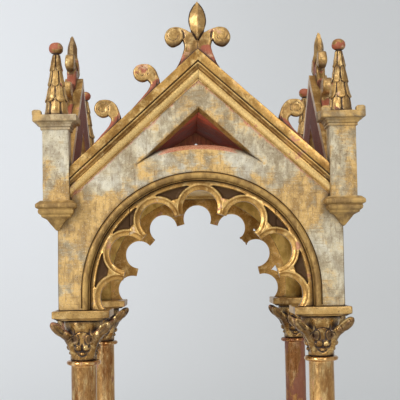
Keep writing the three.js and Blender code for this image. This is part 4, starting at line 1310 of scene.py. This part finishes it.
PAINTS = {
    "gesso_gilt": panel_paint(),
    "moulding_gilt": gilding("moulding_gilt", MOULDING_TONES, 0.12, 0.9, 0.3, 0.7, grain=0.3),
    "carved_gilt": gilding("carved_gilt", CARVED_TONES, 0.15, 1.9, 0.34, 0.6, grain=0.35),
    "column_gilt": gilding("column_gilt", COLUMN_TONES, 0.1, 0.8, 0.17, 0.95, (1, 1, 0.3), 0.08),
    "capital_gilt": gilding("capital_gilt", CAPITAL_TONES, 0.14, 1.5, 0.22, 0.8, grain=0.25),
    "ceiling_gilt": gilding("ceiling_gilt", CEILING_TONES, 0.1, 0.8, 0.5, 0.15),
    "roof_bole": wood_paint("roof_bole", (160, 66, 38), (100, 38, 22), (0.25, 1, 1)),
    "platform_gilt": gilding("platform_gilt", MOULDING_TONES, 0.2, 1.0, 0.35, 0.75),
}


# The canopy. For each kind of piece: its slot, how uneven it is, the length of the waves in it and
# how deep its edges are rubbed. Each piece gets a seed of its own, so that no two copies are alike.
KINDS = {
    "panel": ("gesso_gilt", 0.3, 45.0, 0.5),
    "tracery": ("moulding_gilt", 0.2, 12.0, 0.4),
    "fleur": ("carved_gilt", 0.3, 9.0, 0.5),
    "rake": ("moulding_gilt", 0.2, 14.0, 0.4),
    "crocket": ("carved_gilt", 0.3, 9.0, 0.5),
    "ceiling": ("ceiling_gilt", 0.25, 14.0, 0.5),
    "roof": ("roof_bole", 0.25, 14.0, 0.5),
    "column": ("column_gilt", 0.2, 30.0, 0.5),
    "capital": ("capital_gilt", 0.4, 8.0, 0.4),
    "abacus": ("carved_gilt", 0.3, 12.0, 0.5),
    "turret": ("gesso_gilt", 0.3, 14.0, 0.6),
    "spire": ("carved_gilt", 0.45, 7.0, 0.5),
    "base": ("platform_gilt", 0.3, 30.0, 0.8),
}
COLUMN_RUB = {"front_left": 0.35, "front_right": 0.1, "back_right": 1.1, "back_left": 0.25}
ABACUS_RUB = -0.3
seeds = itertools.count(1)


def place(name, shape, quarter=0, height=PANEL_FOOT, shift=(0, 0, 0), **masks):
    """Makes a piece from its shape, moved and turned to its place, worn and painted as its kind is."""
    slot, amount, size, chips = KINDS[name.split("_")[0]]
    points, triangles, *drawn = shape
    points = lifted(turned_round(points + np.array(shift), quarter), height)
    if signed_volume(points, triangles) < 0:
        triangles = triangles[:, ::-1]
    points = worn(points, triangles, next(seeds), amount, size, chips)
    whole = {label: np.full(len(points), value) for label, value in masks.items()}
    build(name, points, triangles, {**(drawn[0] if drawn else {}), **whole}, PAINTS[slot])


def make_upper_stage():
    panel, rake, fleur, crocket = panel_shape(), rake_shape(), fleur_shape(), crocket_shape()
    tracery, broken = tracery_shape(), tracery_shape(broken=True)
    for quarter, face in enumerate(FACES):
        place(f"panel_{face}", panel, quarter)
        place(f"tracery_{face}", broken if face == "back" else tracery, quarter)
        place(f"fleur_{face}", fleur, quarter)
        for side, slope in ((-1, "left"), (1, "right")):
            place(f"rake_{face}_{slope}", rake if side > 0 else mirrored(*rake), quarter)
            for station, level in zip(CROCKET_STATIONS[slope], ("upper", "lower")):
                name = f"crocket_{face}_{slope}_{level}"
                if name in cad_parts:
                    place(name, crocket_at(crocket, side, station), quarter)
    place("ceiling_board", ceiling_shape())
    place("roof_board_left", roof_shape(-1))
    place("roof_board_right", roof_shape(1))


def make_corners():
    merlons = ((-1, -1), (1, -1), (1, 1), (-1, 1))
    column_axis, turret_axis = (-COLUMN_AXIS, -COLUMN_AXIS, 0), (-HALF_WIDTH, -HALF_WIDTH, 0)
    column, capital, abacus, spire = column_shape(), capital_shape(), abacus_shape(), spire_shape()
    for quarter, corner in enumerate(CORNERS):
        kept_merlons = merlons[:1] if corner == "front_left" else merlons
        place(f"column_{corner}", column, quarter, PLATFORM_TOP, column_axis, rub=COLUMN_RUB[corner])
        place(f"capital_{corner}", capital, quarter, CAPITAL_FOOT, column_axis)
        place(f"abacus_{corner}", abacus, quarter, ABACUS_FOOT, column_axis, rub=ABACUS_RUB)
        place(f"turret_{corner}", turret_shape(kept_merlons), quarter, shift=turret_axis)
        place(f"spire_{corner}", spire, quarter, shift=turret_axis)
    place("base_platform", platform_shape(), height=0)


make_upper_stage()
make_corners()


# Camera, light and studio. The studio's lengths are in metres.
CAMERA_PLACE = (-21.45, -1560.47, PANEL_FOOT + 66.57)
CAMERA_TURNS = (0.885, 3.582, 1.0)
CAMERA_LENS = 87.51
STUDIO_HALF = 9.0
STUDIO_TOP = 7.0
FLOOR_END = 2.9
FLOOR_CURVE = 1.6
UPPER_STAGE = (0, 0, 0.7)


def make_camera():
    data = bpy.data.cameras.new("camera")
    data.sensor_width = 36.0
    data.lens = CAMERA_LENS
    camera = bpy.data.objects.new("camera", data)
    bpy.context.scene.collection.objects.link(camera)
    yaw, pitch, roll = (math.radians(angle) for angle in CAMERA_TURNS)
    forward = Vector((math.sin(yaw) * math.cos(pitch), math.cos(yaw) * math.cos(pitch), math.sin(pitch)))
    right = Vector((math.cos(yaw), -math.sin(yaw), 0))
    up = right.cross(forward)
    turned_right = right * math.cos(roll) - up * math.sin(roll)
    turned_up = right * math.sin(roll) + up * math.cos(roll)
    rotation = Matrix((turned_right, turned_up, -forward)).transposed().to_4x4()
    camera.matrix_world = Matrix.Translation(Vector(CAMERA_PLACE) * MM) @ rotation
    bpy.context.scene.camera = camera


def make_light(name, place_at, aim_at, width, tall, power, tint=(1, 1, 1)):
    """A soft rectangle of light at one place, facing another."""
    data = bpy.data.lights.new(name, "AREA")
    data.shape = "RECTANGLE"
    data.size, data.size_y = width, tall
    data.energy = power
    data.color = tint
    light = bpy.data.objects.new(name, data)
    bpy.context.scene.collection.objects.link(light)
    light.location = place_at
    light.rotation_euler = (Vector(aim_at) - Vector(place_at)).to_track_quat("-Z", "Y").to_euler()
    light.visible_camera = False


def make_studio():
    scene = bpy.context.scene
    scene.view_settings.view_transform = "Standard"
    world = bpy.data.worlds.new("studio")
    world.use_nodes = True
    sky = world.node_tree.nodes["Background"].inputs
    sky["Color"].default_value = (0.90, 0.90, 0.91, 1)
    sky["Strength"].default_value = 0.62
    scene.world = world
    make_light("window_left", (-1.75, -1.95, 1.4), UPPER_STAGE, 0.55, 1.6, 44)
    make_light("window_right", (0.96, -2.63, 1.5), UPPER_STAGE, 0.4, 1.5, 17)
    make_light("ceiling_light", (0.17, -0.98, 3.0), UPPER_STAGE, 2.2, 2.2, 26)
    make_light("roof_light", (0, -0.12, 0.78), (0, 0.06, 0.9), 0.2, 0.06, 0.35, (1, 0.8, 0.62))
    make_light("wall_light", (-2.4, 1.6, 2.6), (-1.2, 4.5, 1.9), 1.6, 1.6, 22)
    profile = [(-STUDIO_HALF, 0.0), (FLOOR_END, 0.0)]
    profile += [(FLOOR_END + FLOOR_CURVE * math.sin(a), FLOOR_CURVE - FLOOR_CURVE * math.cos(a))
                for a in np.radians(np.arange(6, 90, 6))]
    profile += [(FLOOR_END + FLOOR_CURVE, FLOOR_CURVE), (FLOOR_END + FLOOR_CURVE, STUDIO_TOP)]
    points = [(x, y, z) for y, z in profile for x in (-STUDIO_HALF, STUDIO_HALF)]
    faces = [(2 * i, 2 * i + 1, 2 * i + 3, 2 * i + 2) for i in range(len(profile) - 1)]
    mesh = bpy.data.meshes.new("studio_floor")
    mesh.from_pydata(points, [], faces)
    mesh.polygons.foreach_set("use_smooth", [True] * len(faces))
    mesh.materials.append(stage_paint())
    floor = bpy.data.objects.new("studio_floor", mesh)
    scene.collection.objects.link(floor)


make_camera()
make_studio()
